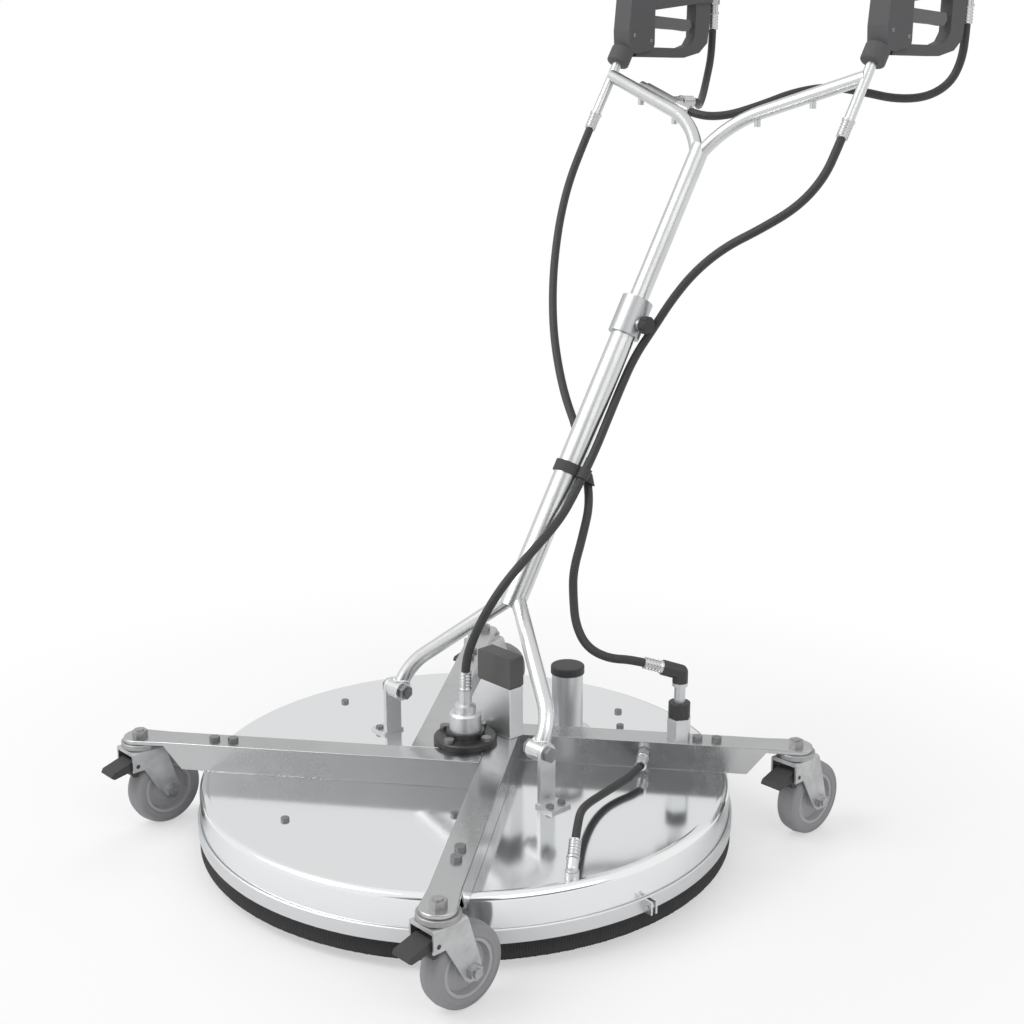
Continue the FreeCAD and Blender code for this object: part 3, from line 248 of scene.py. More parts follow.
def brushed(name, tone, rough, turn=0.0, lean=0.0, along=900.0, grime=0.25):
    """Satin steel: long scratches across one direction, soft smudges and a few dull spots.

    Grain is noise squeezed along the brushing direction; smudges are slow noise raised to a
    step; both shift roughness and tone by a little.
    """
    shader = begin(name)
    spot = shader.place()
    grain_at = shader.place(scale=(12, along, along), turn=(lean, 0, turn))
    grain = shader.noise(grain_at, 1.0, 4, 0.6)
    smudge = shader.noise(spot, 9, 4).step(0.42, 0.72)
    dust = shader.noise(spot, 55, 3).step(0.5, 0.8)
    worn = shader.blend(smudge * grime + grain * 0.22, tone, shade(tone, 0.80))
    colour = shader.blend(dust * 0.12, worn, (0.42, 0.41, 0.40))
    roughness = rough + grain * 0.16 + smudge * 0.10 + dust * 0.06 - 0.08
    normal = shader.bump(grain, 0.00012, 0.5)
    return finish(shader, colour, roughness, 1.0, normal)


def polished_deck():
    """Mirror-rolled sheet: ring-shaped polishing lines, water marks and dull drying spots.

    The rings are noise read along the radius r = sqrt(x^2 + y^2); the marks are noise steps.
    """
    shader = begin("mirror_steel")
    spot = shader.place()
    x, y, z = shader.axes(spot)
    radius = (x * x + y * y) ** 0.5
    ring_at = shader.node("ShaderNodeCombineXYZ", None, radius * 900, z * 30, 0.0).outputs[0]
    ring = shader.noise(ring_at, 1.0, 3)
    marks = shader.noise(spot, 5.5, 5, 0.6).step(0.45, 0.75)
    spots = 1 - shader.cells(spot, 34).step(0.10, 0.17)
    fine = shader.noise(spot, 60, 4).step(0.45, 0.8)
    clean = shader.blend(marks * 0.35 + fine * 0.12, (0.80, 0.805, 0.81), (0.66, 0.665, 0.67))
    colour = shader.blend(spots * 0.10, clean, (0.52, 0.52, 0.51))
    roughness = 0.085 + ring * 0.05 + marks * 0.07 + spots * 0.06 + fine * 0.03
    waves = shader.noise(spot, 3.0, 2)
    normal = shader.bump(waves, 0.004, 0.10, shader.bump(ring, 0.00003, 0.4))
    return finish(shader, colour, roughness, 1.0, normal)


def moulded(name, tone, rough, mottled=0.25, seam=None):
    """Moulded plastic: pebbled skin from cells, faint flow marks, patches of dust.

    A seam is the parting line of two shells, where |x| is that many metres.
    """
    shader = begin(name)
    spot = shader.place()
    pebbles = shader.cells(spot, 1400)
    flow = shader.noise(shader.place(scale=(8, 30, 12)), 1.0, 3)
    dust = shader.noise(spot, 40, 4).step(0.5, 0.8)
    body = shader.blend(flow * mottled, tone, shade(tone, 1.35, 0.015))
    colour = shader.blend(dust * 0.10, body, (0.30, 0.29, 0.28))
    roughness = rough + pebbles * 0.10 + dust * 0.12 + flow * 0.06
    normal = shader.bump(pebbles, 0.00012, 0.6)
    if seam is not None:
        x = shader.axes(spot)[0]
        groove = 1 - (x.size() - seam).size().step(0.0002, 0.0006)
        colour = shader.blend(groove * 0.8, colour, (0.004, 0.004, 0.004))
        normal = shader.bump(1 - groove, 0.0008, 0.8, normal)
    return finish(shader, colour, roughness, 0.0, normal)


def rubbery(name, tone, rough):
    """Rubber: fine uneven skin, pale scuffs and dust."""
    shader = begin(name)
    spot = shader.place()
    skin = shader.noise(spot, 300, 4)
    worn = shader.noise(shader.place(scale=(30, 30, 90)), 1.0, 5, 0.65).step(0.48, 0.75)
    colour = shader.blend(worn * 0.3 + skin * 0.15, tone, shade(tone, 1.6, 0.05))
    roughness = rough + worn * 0.12 + skin * 0.08
    return finish(shader, colour, roughness, 0.0, shader.bump(skin, 0.0002, 0.5))


def hose_cover():
    """Hose cover on its own UV map, metres along v: a wrapped-cloth helix and dusty scuffs.

    The cloth is sin(2 pi (12 u + 300 v)) times its mirror image, sin(2 pi (12 u - 300 v)).
    """
    shader = begin("hose_cover")
    around, run, _ = shader.axes(shader.node("ShaderNodeTexCoord").outputs["UV"])
    turns = around * (2 * math.pi * 12)
    travel = run * (2 * math.pi * 300)
    cloth = (turns + travel).sine() * (turns - travel).sine()
    spot = shader.place()
    scuff = shader.noise(spot, 60, 5, 0.65).step(0.5, 0.78)
    tone = shader.noise(spot, 14, 2)
    colour = shader.blend(scuff * 0.35 + tone * 0.2, (0.022, 0.022, 0.024), (0.085, 0.084, 0.082))
    roughness = 0.36 + scuff * 0.22 + tone * 0.1
    normal = shader.bump(cloth, 0.00022, 0.45)
    return finish(shader, colour, roughness, 0.0, normal)


def bristles():
    """Tufted nylon: fine upright strands by the angle round the deck, paler dusty tips."""
    shader = begin("bristle")
    spot = shader.place()
    x, y, z = shader.axes(spot)
    angle = x.maths("ARCTAN2", y, x)
    strand_at = shader.node("ShaderNodeCombineXYZ", None, angle * 1400, z * 20, 0.0).outputs[0]
    strand = shader.noise(strand_at, 1.0, 3, 0.7)
    tips = 1 - z.step(0.015, 0.030)
    dark = shader.blend(strand, (0.008, 0.008, 0.009), (0.034, 0.034, 0.034))
    colour = shader.blend(tips * 0.35, dark, (0.07, 0.068, 0.066))
    normal = shader.bump(strand, 0.0008, 0.9)
    return finish(shader, colour, 0.5 + strand * 0.25, 0.0, normal)


def painted(name, tone, rough):
    """Powder coat: orange-peel skin over metal, dusty spots and a little fading."""
    shader = begin(name)
    spot = shader.place()
    peel = shader.noise(spot, 420, 2)
    dust = shader.noise(spot, 50, 4).step(0.5, 0.8)
    colour = shader.blend(dust * 0.18 + peel * 0.08, tone, (0.22, 0.215, 0.21))
    roughness = rough + dust * 0.15 + peel * 0.08
    normal = shader.bump(peel, 0.0003, 0.5)
    return finish(shader, colour, roughness, 0.0, normal, Coat_Weight=0.15)


def zinc(name, tone, rough):
    """Zinc plate: cloudy crystal patches, fine pitting and dull water stains."""
    shader = begin(name)
    spot = shader.place()
    patch = shader.cells(spot, 130)
    cloud = shader.noise(spot, 26, 4).step(0.35, 0.75)
    pit = shader.noise(spot, 700, 2)
    colour = shader.blend(cloud * 0.5 + patch * 0.25, tone, shade(tone, 0.72))
    roughness = rough + cloud * 0.14 + patch * 0.12
    return finish(shader, colour, roughness, 1.0, shader.bump(pit, 0.0001, 0.5))


def turned_metal(name, tone, rough):
    """Lathe-turned metal: fine rings along Z from stretched noise, and soft stains."""
    shader = begin(name)
    spot = shader.place()
    ring = shader.noise(shader.place(scale=(30, 30, 1500)), 1.0, 2)
    stain = shader.noise(spot, 40, 4).step(0.45, 0.8)
    colour = shader.blend(stain * 0.35 + ring * 0.15, tone, shade(tone, 0.7))
    roughness = rough + ring * 0.14 + stain * 0.10 - 0.05
    return finish(shader, colour, roughness, 1.0, shader.bump(ring, 0.0001, 0.5))


# Each gun's middle plane, where its two shells meet, is this far from the machine's, in mm.
GUN_SIDE = 242

# A finish dresses every node whose name starts with its key; the longest key wins.
finishes = {
    "deck_shell": polished_deck(),
    "skirt_clamp_band": brushed("band_steel", (0.62, 0.62, 0.63), 0.24, along=400),
    "swivel_flange": painted("black_paint", (0.018, 0.018, 0.019), 0.34),
    "swivel_housing": turned_metal("housing_steel", (0.66, 0.665, 0.67), 0.26),
    "rotor_bearings": turned_metal("bearing_steel", (0.5, 0.5, 0.51), 0.2),
    "pivot_brackets": brushed("bracket_steel", (0.50, 0.505, 0.51), 0.30),
    "chassis_bolts": zinc("bolt_zinc", (0.30, 0.30, 0.305), 0.36),
    "suction_port": brushed("port_steel", (0.66, 0.665, 0.67), 0.26),
    "suction_cap": moulded("cap_plastic", (0.035, 0.035, 0.036), 0.42),
    "jet_fittings": turned_metal("fitting_steel", (0.66, 0.66, 0.665), 0.24),
    "gun_inlets": turned_metal("inlet_steel", (0.62, 0.62, 0.625), 0.24),
    "feed_manifold": turned_metal("manifold_steel", (0.36, 0.36, 0.365), 0.32),
    "jet_collar": painted("black_fitting", (0.028, 0.028, 0.029), 0.36),
    "catch_pedestal": brushed("pedestal_steel", (0.80, 0.80, 0.80), 0.34),
    "catch_block": rubbery("rest_rubber", (0.13, 0.13, 0.132), 0.6),
    "castor_heads": zinc("head_zinc", (0.46, 0.46, 0.465), 0.34),
    "rotor_hub": turned_metal("hub_steel", (0.60, 0.60, 0.61), 0.26),
    "spray_bar": brushed("bar_steel", (0.58, 0.58, 0.59), 0.28),
    "spray_nozzles": turned_metal("nozzle_brass", (0.66, 0.50, 0.24), 0.26),
    "handle_fork": brushed("mast_steel", (0.70, 0.705, 0.71), 0.27, lean=-LEAN),
    "handlebar": brushed("bar_tube_steel", (0.66, 0.665, 0.67), 0.27, lean=-LEAN),
    "clamp_collar": turned_metal("collar_steel", (0.56, 0.565, 0.57), 0.28),
    "clamp_knob": moulded("knob_plastic", (0.03, 0.03, 0.031), 0.42),
    "hose_clip": moulded("clip_plastic", (0.05, 0.05, 0.051), 0.45),
    "trigger": moulded("trigger_plastic", (0.17, 0.17, 0.172), 0.4),
    "gun": moulded("gun_plastic", (0.03, 0.03, 0.032), 0.42, seam=GUN_SIDE / 1000),
    "castor_fork": zinc("fork_zinc", (0.60, 0.605, 0.61), 0.32),
    "castor_axle": zinc("axle_zinc", (0.52, 0.52, 0.53), 0.30),
    "castor_rim": moulded("rim_plastic", (0.50, 0.50, 0.505), 0.42, mottled=0.15),
    "castor_tyre": rubbery("tyre_rubber", (0.24, 0.24, 0.242), 0.55),
    "brake_pedal": moulded("pedal_plastic", (0.045, 0.045, 0.046), 0.45),
    "brush_skirt": bristles(),
}
HOSE = hose_cover()
ARM_HEADINGS = (-51.41, 38.59, 128.59, -141.41)
for where, turn in zip(WHERE, ARM_HEADINGS):
    finishes["frame_arm_" + where] = brushed(
        "arm_steel_" + where, (0.54, 0.545, 0.55), 0.19, turn=-math.radians(turn), grime=0.4
    )


def finish_of(label):
    """A node's finish; what has no finish of its own is a hose."""
    keys = [key for key in finishes if label.startswith(key)]
    return finishes[max(keys, key=len)] if keys else HOSE


def dress(obj, material):
    """Give an object this material alone."""
    obj.data.materials.clear()
    obj.data.materials.append(material)


for label, obj in nodes.items():
    dress(obj, finish_of(label))


# ---- mesh helpers --------------------------------------------------------------------


def piece(name, points, faces, material, smooth=True, uv=None):
    """A mesh object at the origin from an array of points and a list of faces."""
    mesh = bpy.data.meshes.new(name)
    mesh.from_pydata(np.asarray(points, float).tolist(), [], faces)
    mesh.polygons.foreach_set("use_smooth", np.full(len(mesh.polygons), smooth))
    if uv is not None:
        layer = mesh.uv_layers.new(name="run")
        loops = np.zeros(len(mesh.loops), np.int32)
        mesh.loops.foreach_get("vertex_index", loops)
        layer.data.foreach_set("uv", uv[loops].astype(np.float32).ravel())
    mesh.materials.append(material)
    return add_object(name, mesh)


def grid_faces(rows, columns, closed=False):
    """Quads of a grid of points numbered row by row: each row is a ring, and a closed grid
    joins its last row to its first.
    """
    i, j = np.meshgrid(np.arange(rows if closed else rows - 1), np.arange(columns), indexing="ij")
    here, after = i * columns, (i + 1) % rows * columns
    beside = (j + 1) % columns
    quads = np.stack([here + j, here + beside, after + beside, after + j], axis=-1)
    return quads.reshape(-1, 4).tolist()


def frames_along(path):
    """Tangent and two square directions at each point, turned as little as possible."""
    path = np.asarray(path, float)
    tangent = np.gradient(path, axis=0)
    tangent /= np.linalg.norm(tangent, axis=1)[:, None]
    sides = [unit(np.cross(tangent[0], [0.3, 0.5, 0.8]))]
    for heading in tangent[1:]:
        sides.append(unit(sides[-1] - heading * (sides[-1] @ heading)))
    sides = np.array(sides)
    return tangent, sides, np.cross(tangent, sides)


def tube_along(name, path, radii, material, around):
    """A tube: point = path(v) + r(v) (cos u side + sin u other), closed by a fan at each end.

    Its UV map has the length from the start on v, and u goes up and down again round the tube.
    """
    path = np.asarray(path, float)
    radii = np.broadcast_to(np.asarray(radii, float), (len(path),))
    tangent, side, other = frames_along(path)
    turn = np.linspace(0, 2 * math.pi, around, endpoint=False)
    ring = (
        side[:, None] * np.cos(turn)[None, :, None] + other[:, None] * np.sin(turn)[None, :, None]
    )
    points = (path[:, None] + ring * radii[:, None, None]).reshape(-1, 3)
    faces = grid_faces(len(path), around)
    run = np.concatenate([[0], np.cumsum(np.linalg.norm(np.diff(path, axis=0), axis=1))])
    fold = 1 - np.abs(1 - 2 * np.arange(around) / around)
    uv = np.stack([np.tile(fold, len(path)), np.repeat(run, around)], axis=1)
    count = len(points)
    points = np.vstack([points, path[:1], path[-1:]])
    uv = np.vstack([uv, [[0, run[0]], [0, run[-1]]]])
    last = (len(path) - 1) * around
    for k in range(around):
        after = (k + 1) % around
        faces.append([count, after, k])
        faces.append([count + 1, last + k, last + after])
    return piece(name, points, faces, material, uv=uv)


def eased(label, width, body, angle=40, segments=2):
    """A CAD node's solid with the edges sharper than angle rounded; it stands for the node."""
    mesh = nodes[label].data.copy()
    mesh.name = label + "_eased"
    work = bmesh.new()
    work.from_mesh(mesh)
    bmesh.ops.remove_doubles(work, verts=work.verts, dist=1e-6)
    bmesh.ops.dissolve_limit(
        work, angle_limit=math.radians(1.5), verts=work.verts, edges=work.edges
    )
    work.to_mesh(mesh)
    work.free()
    obj = add_object(label + "_eased", mesh)
    mesh.polygons.foreach_set("use_smooth", np.full(len(mesh.polygons), False))
    bevel = obj.modifiers.new("edges", "BEVEL")
    bevel.width = width / 1000
    bevel.segments = segments
    bevel.limit_method = "ANGLE"
    bevel.angle_limit = math.radians(angle)
    dress(obj, finish_of(label))
    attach(obj, body)
    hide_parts(label)


# ---- hoses ---------------------------------------------------------------------------


def route_curve(name, route):
    """A NURBS line of order 3 with the route's points as its control points."""
    curve = bpy.data.curves.new(name, "CURVE")
    curve.dimensions = "3D"
    curve.resolution_u = 10
    spline = curve.splines.new("NURBS")
    spline.points.add(len(route) - 1)
    weights = np.ones((len(route), 1))
    spline.points.foreach_set("co", np.hstack([route, weights]).ravel())
    spline.order_u = 3
    spline.use_endpoint_u = True
    obj = add_object(name, curve)
    mesh = bpy.data.meshes.new_from_object(obj)
    line = corners_of(mesh)
    bpy.data.objects.remove(obj)
    bpy.data.curves.remove(curve)
    bpy.data.meshes.remove(mesh)
    return line


def hose(label, route, radius, carrier):
    """A hose along its route's own smooth line, which it gives back."""
    route = np.asarray(route, float)
    line = route_curve(label + "_line", route)
    if np.linalg.norm(line[0] - route[0]) > np.linalg.norm(line[-1] - route[0]):
        line = line[::-1]
    obj = tube_along(label + "_cover", line, radius, HOSE, around=24)
    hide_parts(label)
    if len(carrier) == 1:
        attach(obj, *carrier)
    else:
        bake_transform(obj)
    2 * radius
    return line


# Outer radii in metres of the pressure hoses and of the edge-jet hose.
THICK, THIN = 0.00625, 0.0055
# Where the clip holds each hose, in handle coordinates, and how the hose leaves it downwards.
CLIP_ROTOR = np.array([27.0, 385.0, 6.0])
CLIP_JET = np.array([14.0, 385.0, 28.0])
ROTOR_HEADING = unit([0.04, -0.985, -0.12])
JET_HEADING = unit([0.63, -0.776, 0.0])
# Edge-jet coupling: its foot, and the way its elbow points.
COUPLING = np.array([0.19737, 0.23043, 0.0])
ELBOW = unit([-0.525, -0.79, 0.32])
jet_mouth = COUPLING + [0, 0, 0.240] + ELBOW * 0.028
# Edge-jet hose: from the outlet on the rear right arm to the ferrule by the deck's edge.
OUTWARD = np.array([0.62376, -0.78162, 0.0])
SOCKET = unit([-0.51, 0.645, 0.566])
edge_start = np.array([0.17544, 0.18095, 0.121]) + OUTWARD * 0.009
edge_end = np.array([0.332, -0.117, 0.112]) + SOCKET * 0.012
# A branch of the bar runs straight between these sides and lengths of the handle.
BEND_SIDE, BEND_LENGTH = 36, 946
BRANCH_END_LENGTH = 1022
# Length along the handle at which a lance enters its gun.
GUN_LENGTH = 1060


def gun_outlet(side):
    """Front end of a gun, on its lance."""
    return on_handle(side * GUN_SIDE, GUN_LENGTH)


def gun_inlet(side):
    """Where the feed hose meets the fitting under the back of a gun."""
    return gun_outlet(side) + [0, 0.222, 0.070]


def branch_at(side):
    """A place on a branch of the bar, then set back to the line of the feed tee."""
    share = (abs(side) - BEND_SIDE) / (GUN_SIDE - BEND_SIDE)
    length = BEND_LENGTH + (BRANCH_END_LENGTH - BEND_LENGTH) * share
    return on_handle(side, length) + [0, 0.021, 0.003]


tee_inner, tee_outer = branch_at(-92), branch_at(-172)
tee_heading = unit(tee_outer - tee_inner)
tee_port = tee_inner + tee_heading * 0.022 + [0, 0.022, 0]

# Control points of the routes, in metres, or in mm where on_handle takes them.
rotor_upper = [on_handle(*spot) for spot in (
    (242, 955, 0), (242, 915, 0), (236, 868, 4), (214, 822, 2), (176, 780, -8),
    (132, 745, -14), (92, 708, -8), (58, 668, 6), (30, 624, 22), (16, 575, 22),
    (18, 520, 18), (24, 460, 12), CLIP_ROTOR - ROTOR_HEADING * 36, CLIP_ROTOR,
)]
rotor_lower = [
    on_handle(*CLIP_ROTOR), on_handle(*(CLIP_ROTOR + ROTOR_HEADING * 40)),
    (0.035, 0.148, 0.444), (0.038, 0.108, 0.420), (0.036, 0.074, 0.396),
    (0.030, 0.044, 0.368), (0.021, 0.022, 0.334), (0.010, 0.007, 0.296),
    (0.0, 0.0, 0.257), (0.0, 0.0, 0.218),
]
jet_upper = [on_handle(*spot) for spot in (
    (-242, 955, 0), (-242, 900, 0), (-240, 835, 1), (-228, 772, 3), (-208, 708, 6),
    (-184, 650, 9), (-154, 592, 13), (-120, 540, 18), (-82, 492, 23),
    CLIP_JET - JET_HEADING * 82, CLIP_JET,
)]
jet_lower = [
    on_handle(*CLIP_JET), on_handle(*(CLIP_JET + JET_HEADING * 38)),
    on_handle(48, 300, 31), on_handle(54, 250, 33),
    (0.063, 0.150, 0.336), (0.078, 0.140, 0.302), (0.102, 0.138, 0.275),
    (0.133, 0.150, 0.263), jet_mouth + ELBOW * 0.042, jet_mouth,
]
edge = [
    edge_start, edge_start + OUTWARD * 0.024,
    (0.205, 0.126, 0.117), (0.208, 0.094, 0.114), (0.214, 0.060, 0.114),
    (0.226, 0.026, 0.119), (0.243, -0.005, 0.127), (0.264, -0.034, 0.136),
    (0.288, -0.062, 0.143), edge_end + SOCKET * 0.028, edge_end,
]
feed_left = [
    gun_inlet(-1), gun_inlet(-1) - [0, 0, 0.038],
    (-0.240, 0.768, 1.076), (-0.232, 0.750, 1.045), (-0.214, 0.722, 1.022),
    (-0.188, 0.686, 1.009), (-0.158, 0.646, 1.003), (-0.130, 0.612, 1.004),
    tee_port + [0, 0.038, 0], tee_port,
]
feed_right = [
    gun_inlet(1), gun_inlet(1) - [0, 0, 0.038],
    (0.238, 0.774, 1.072), (0.226, 0.766, 1.038), (0.202, 0.742, 1.018),
    (0.170, 0.708, 1.016), (0.138, 0.676, 1.026), (0.104, 0.640, 1.034),
    (0.066, 0.602, 1.026), (0.028, 0.568, 1.006), (-0.014, 0.538, 0.990),
    tee_inner - tee_heading * 0.042, tee_inner,
]

# What carries a hose: one body, or two bodies and two places on its way between them.
TELESCOPE = ("handle_lower", "handle_upper", tuple(on_handle(0, 430)), tuple(on_handle(0, 900)))
ROTOR_TILT = ("chassis", "handle_lower", (0.0, 0.0, 0.235), tuple(on_handle(27, 350, 6)))
JET_TILT = ("chassis", "handle_lower", (0.150, 0.170, 0.255), tuple(on_handle(30, 350, 28)))
BAR = ("handle_upper",)
DECK = ("chassis",)
# Each hose's route, radius and carrier, and the body at each end that has a crimp.
hoses = {
    "rotor_hose_upper": (rotor_upper, THICK, TELESCOPE, {"start": "handle_upper"}),
    "rotor_hose_lower": (rotor_lower, THICK, ROTOR_TILT, {"end": "chassis"}),
    "jet_hose_upper": (jet_upper, THICK, TELESCOPE, {"start": "handle_upper"}),
    "jet_hose_lower": (jet_lower, THICK, JET_TILT, {"end": "chassis"}),
    "edge_jet_hose": (edge, THIN, DECK, {"start": "chassis", "end": "chassis"}),
    "feed_hose_left": (feed_left, THICK, BAR, {"start": "handle_upper", "end": "handle_upper"}),
    "feed_hose_right": (feed_right, THICK, BAR, {"start": "handle_upper", "end": "handle_upper"}),
}
lines = {
    label: hose(label, route, radius, carrier)
    for label, (route, radius, carrier, _) in hoses.items()
}


# ---- crimped ends of the hoses -------------------------------------------------------

CRIMP = turned_metal("crimp_steel", (0.60, 0.60, 0.61), 0.25)


def ring_piece(name, at, axis, profile, material, body, around):
    """A ring: a closed loop of (radius, height) corners in mm carried round the axis.

    point(h, u) = at + radius(h) (cos u first + sin u second) + height(h) axis
    """
    at, axis = np.asarray(at, float), unit(axis)
    first = unit(np.cross(axis, [0.31, 0.52, 0.79]))
    second = np.cross(axis, first)
    loop = np.asarray(profile, float) / 1000
    turn = np.linspace(0, 2 * math.pi, around, endpoint=False)
    ring = first * np.cos(turn)[:, None] + second * np.sin(turn)[:, None]
    points = at + loop[:, 0][:, None, None] * ring[None] + loop[:, 1][:, None, None] * axis
    faces = grid_faces(len(loop), around, closed=True)
    obj = piece(name, points.reshape(-1, 3), faces, material)
    edges = obj.modifiers.new("edges", "EDGE_SPLIT")
    edges.split_angle = math.radians(40)
    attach(obj, body)
    return obj


def crimp(name, at, along, radius, body):
    """Pressed sleeve on a hose's end: a collar, then waves of the crimping dies.

    Outer radius in mm = hose + 2.1 + 0.45 cos(2 pi (height - 4) / 4.6), from height 4 to 27.
    """
    bore = radius * 1000
    height = np.linspace(4, 27, 40)
    outer = bore + 2.1 + 0.45 * np.cos((height - 4) * 2 * math.pi / 4.6)
    loop = [(bore + 3.2, 0), (bore + 3.2, 3.4), *zip(outer, height)]
    loop += [(bore + 0.9, 28.2), (bore - 0.3, 28.2), (bore - 0.3, 0)]
    ring_piece(name, at, along, loop, CRIMP, body, 40)


for label, (_, radius, _, crimps) in hoses.items():
    for end, body in crimps.items():
        line = lines[label] if end == "start" else lines[label][::-1]
        crimp(label + "_crimp_" + end, line[0], line[3] - line[0], radius, body)


# ---- brush skirt ---------------------------------------------------------------------


def brush_skirt():
    """Ring of tufts: each corner of the section (radius, height, swell in mm) goes round the
    deck's axis at radius + swell |sin(tufts * angle / 2)|^0.6, and the foot is uneven.
    """
    tufts, columns, foot = 620, 3100, 15
    angle = np.linspace(0, 2 * math.pi, columns, endpoint=False)
    bulge = np.abs(np.sin(tufts * angle / 2)) ** 0.6
    chance = np.random.default_rng(7)
    ragged = np.repeat(chance.random(tufts), columns // tufts) * 0.6
    section = [
        (375.2, foot, 0.8), (375.1, 20, 0.8), (375.0, 28, 0.7), (375.0, 37.4, 0.4),
        (376.0, 37.5, 0), (376.0, 54, 0), (373, 54, 0), (373, 38, 0), (371.6, 38, 0),
        (371.8, 28, -0.6), (371.8, 20, -0.7), (371.8, foot, -0.7),
    ]
    rows = []
    for radius, height, swell in section:
        reach = (radius + swell * bulge) / 1000
        lift = (height + (ragged if height == foot else 0)) / 1000
        rows.append(np.stack([reach * np.cos(angle), reach * np.sin(angle), lift + 0 * angle], 1))
    points = np.concatenate(rows)
    faces = grid_faces(len(section), columns, closed=True)
    obj = piece("bristle_ring", points, faces, finishes["brush_skirt"])
    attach(obj, "chassis")
    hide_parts("brush_skirt")


brush_skirt()


# ---- turned rings: deck edge, band lip, tyres ----------------------------------------


def arc(centre, radius, start, end, count):
    """Corners on a round stretch of a section, by angle in degrees."""
    angles = np.radians(np.linspace(start, end, count))
    return [(centre[0] + radius * math.cos(a), centre[1] + radius * math.sin(a)) for a in angles]


def centre_of(label):
    """Middle of a node's box."""
    spots = corners_of(nodes[label].data)
    return (spots.min(axis=0) + spots.max(axis=0)) / 2


def deck_edge():
    """Spun edge of the deck, a quarter of a millimetre proud: flat, 9 mm round, wall."""
    section = [(360.5, 101.51), (362.2, 101.68)]
    section += arc((364, 92.5), 9.25, 90, 0, 18)
    section += [(373.25, 57.0), (371.6, 57.0), (371.6, 92.0)]
    section += arc((364, 92.5), 7.4, 4, 90, 6) + [(360.5, 99.9)]
    ring_piece("deck_edge", (0, 0, 0), (0, 0, 1), section, finishes["deck_shell"], "chassis", 720)


def band_lip():
    """Rolled top edge of the clamp band, a flattened round that lies against the deck's wall."""
    section = [(r + (r - 375.2) * 0.33, z) for r, z in arc((375.2, 55.6), 1.5, 0, 334, 14)]
    ring_piece(
        "band_lip", (0, 0, 0), (0, 0, 1), section, finishes["skirt_clamp_band"], "chassis", 360
    )


def tyre(where):
    """Moulded tyre: crowned tread r = 53.7 - 1.1 (h / 9)^2 with a mould line, round shoulders."""
    heights = np.concatenate([np.linspace(-9, -0.5, 9), [-0.25, 0.25], np.linspace(0.5, 9, 9)])
    section = [(37.0, -14.0), (38.4, -15.6), (40.0, -15.95), (46.0, -15.6)]
    section += [(r, h) for h, r in arc((-9.0, 45.6), 7.0, 178, 94, 9)]
    section += [(54.0 if abs(h) < 0.4 else 53.7 - 1.1 * (h / 9) ** 2, h) for h in heights]
    section += [(r, h) for h, r in arc((9.0, 45.6), 7.0, 86, 2, 9)]
    section += [(46.0, 15.6), (40.0, 15.95), (38.4, 15.6), (37.0, 14.0)]
    label = "castor_tyre_" + where
    made = ring_piece(
        "tyre_ring_" + where, centre_of(label), (1, 0, 0), section, finish_of(label),
        "wheel_" + where, 144,
    )
    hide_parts(label)


deck_edge()
band_lip()
for where in WHERE:
    tyre(where)


# ---- screws and welds ----------------------------------------------------------------

# Section (radius, height) in mm of a socket screw's head, from the bottom of its socket.
SCREW = [(0.02, 0.1), (1.3, 0.1), (1.5, 0.9), (2.5, 0.9), (3.1, 0.3), (3.1, -1.5), (0.02, -1.5)]


def gun_screws(side, name):
    """Socket screws that hold the gun's two shells, on both cheeks of casing and grip."""
    casing = [(13, 30, 17), (22, 100, 17), (52, 22, 17), (58, 106, 17)]
    grip = [(120, 96, 14), (222, 104, 14)]
    for index, (y, z, half_width) in enumerate(casing + grip):
        for cheek, way in (("a", -1), ("b", 1)):
            at = gun_outlet(side) + np.array([way * half_width, y, z]) / 1000
            ring_piece(
                f"{name}_screw_{index}{cheek}", at, (way, 0, 0), SCREW,
                finishes["chassis_bolts"], "handle_upper", 24,
            )


def leg_weld(side, name):
    """Fillet weld where a leg lands on its eye: the curve on both tubes' surfaces.

    The eye is a cylinder on X and the leg one along the handle, so the length along the
    handle is sqrt(eye^2 - (leg sin a)^2), plus a small rise; the bead's radius ripples.
    """
    eye, leg, rise, off_middle = 14.0, 11.0, 0.4, 150
    turn = np.linspace(0, 2 * math.pi, 181)
    run = np.sqrt(eye**2 - (leg * np.sin(turn)) ** 2) + rise
    path = [
        on_handle(
            side * off_middle + (leg + rise) * math.cos(a), length, (leg + rise) * math.sin(a)
        )
        for a, length in zip(turn, run)
    ]
    radii = (1.9 + 0.35 * np.sin(turn * 34)) / 1000
    obj = tube_along(name, path, radii, finishes["handle_fork"], around=10)
    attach(obj, "handle_lower")


for side, name in ((-1, "left"), (1, "right")):
    gun_screws(side, "gun_" + name)
    leg_weld(side, "leg_weld_" + name)


# ---- eased edges on the rigid parts --------------------------------------------------

for label in ("gun_left", "gun_right"):
    eased(label, 2.6, "handle_upper", angle=30, segments=3)
for where in WHERE:
    eased("frame_arm_" + where, 2.4, "chassis", segments=3)
for label, width in (("pivot_brackets", 0.8), ("catch_pedestal", 1.2), ("swivel_flange", 0.6)):
    eased(label, width, "chassis")
for where in WHERE:
    eased("castor_fork_" + where, 0.7, "castor_" + where)


# ---- floor, air and lamps ------------------------------------------------------------


def ray_kinds(shader):
    """1 for rays from the camera and 0 for others, then the same for glossy reflections."""
    rays = shader.node("ShaderNodeLightPath")
    return [Value(shader, rays.outputs[kind]) for kind in ("Is Camera Ray", "Is Glossy Ray")]


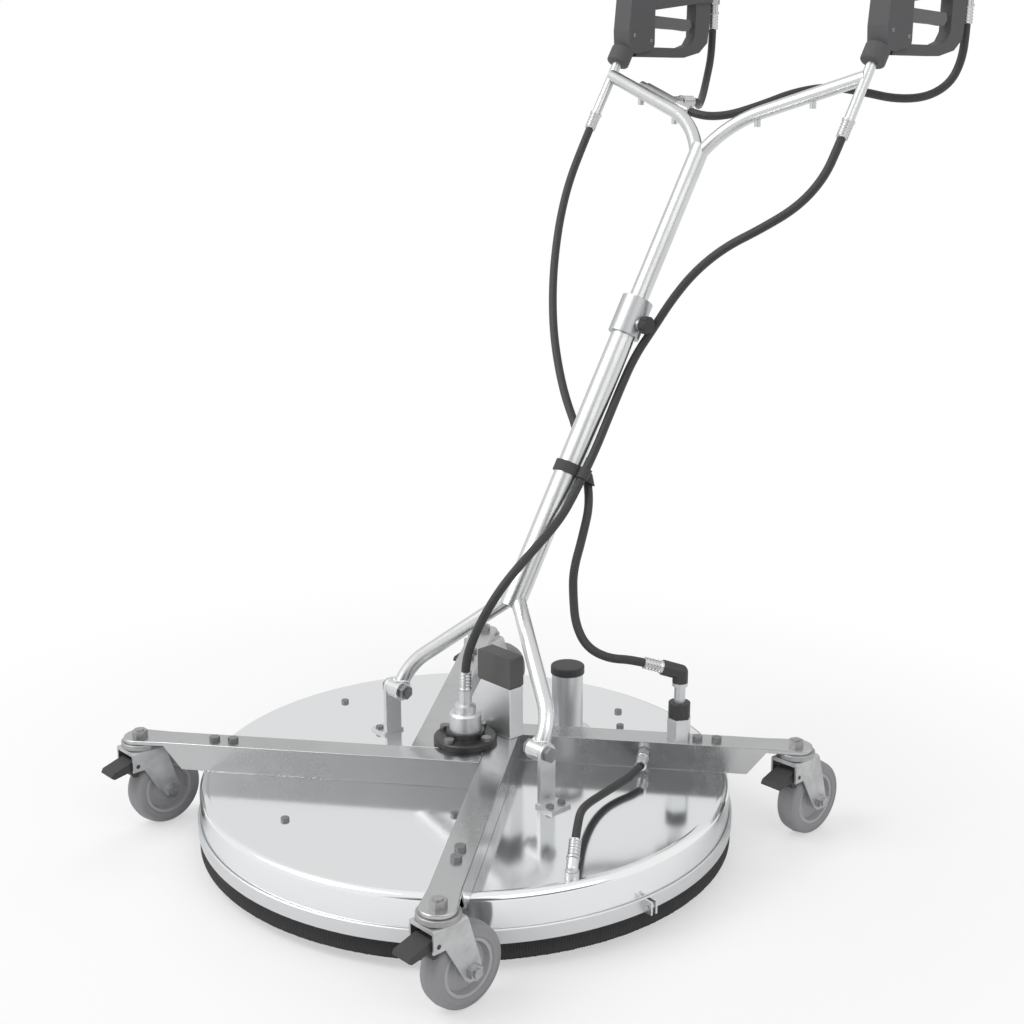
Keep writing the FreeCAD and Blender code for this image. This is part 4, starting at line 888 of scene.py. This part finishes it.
def make_floor():
    """Plain pale floor: softly lit near the cleaner, plain white further out."""
    shader = begin("floor")
    x, y, _ = shader.axes(shader.place())
    away = ((x * x + y * y) ** 0.5).step(0.55, 1.25)
    seen, glossy = ray_kinds(shader)
    share = glossy * away + seen * (0.5 + away * 0.5)
    matt = shader.node("ShaderNodeBsdfDiffuse", None, (0.93, 0.93, 0.93, 1))
    plain = shader.node("ShaderNodeEmission", None, (1, 1, 1, 1), 1.0)
    both = shader.node("ShaderNodeMixShader", None, share, matt.outputs[0], plain.outputs[0])
    shader.node("ShaderNodeOutputMaterial", None, both.outputs[0])
    reach = 30.0
    corners = [(-reach, -reach, 0), (reach, -reach, 0), (reach, reach, 0), (-reach, reach, 0)]
    floor = bpy.data.materials[shader.name]
    piece("floor", corners, [[0, 1, 2, 3]], floor, smooth=False)


def make_air():
    """World light: plain for matt surfaces, white to the camera; for gloss a white room
    with dark walls at the near right and behind, and a pale grey one at the far side.

    near, far and back are how far a ray points at each wall, and z how high it points:
    a wall's share = step(how far) * (1 - step(how high)).
    """
    world = bpy.data.worlds.new("air")
    bpy.context.scene.world = world
    shader = Shader("air", world)
    x, y, z = shader.axes(shader.node("ShaderNodeTexCoord").outputs["Generated"])
    near = x * 0.883 - y * 0.469
    far = y * 0.68 - x * 0.733
    back = y * 0.97 - x * 0.242
    dark = near.step(0.66, 0.82) * (1 - z.step(0.5, 0.8))
    dark = dark + back.step(0.875, 0.915) * (1 - z.step(0.4, 0.65)) * 0.7
    pale = far.step(0.3, 0.7) * (1 - z.step(0.5, 0.85))
    seen, glossy = ray_kinds(shader)
    gloss_level = 0.98 - dark * 0.84 - pale * 0.16
    level = 0.52 * (1 - seen) * (1 - glossy) + glossy * gloss_level + seen
    light = shader.node("ShaderNodeBackground", None, (1, 1, 1, 1), level)
    shader.node("ShaderNodeOutputWorld", None, light.outputs[0])


def lamp(name, place, aim, size, power, mirrored=True):
    """A square lamp aimed at a point; mirrored says whether glossy surfaces show it."""
    data = bpy.data.lights.new(name, "AREA")
    data.shape = "SQUARE"
    data.size = size
    data.energy = power
    obj = add_object(name, data)
    obj.matrix_world = facing(place, unit(np.subtract(place, aim)))
    obj.visible_glossy = mirrored


make_floor()
make_air()
lamp("key", (-1.2, -2.2, 3.0), (0, 0.1, 0.3), 2.4, 62)
lamp("fill", (3.0, -0.4, 2.2), (0, 0.2, 0.4), 2.6, 26)
lamp("rim", (-1.5, 2.6, 2.6), (0, 0.2, 0.5), 2.0, 22, mirrored=False)

bpy.context.scene.view_settings.view_transform = "Standard"
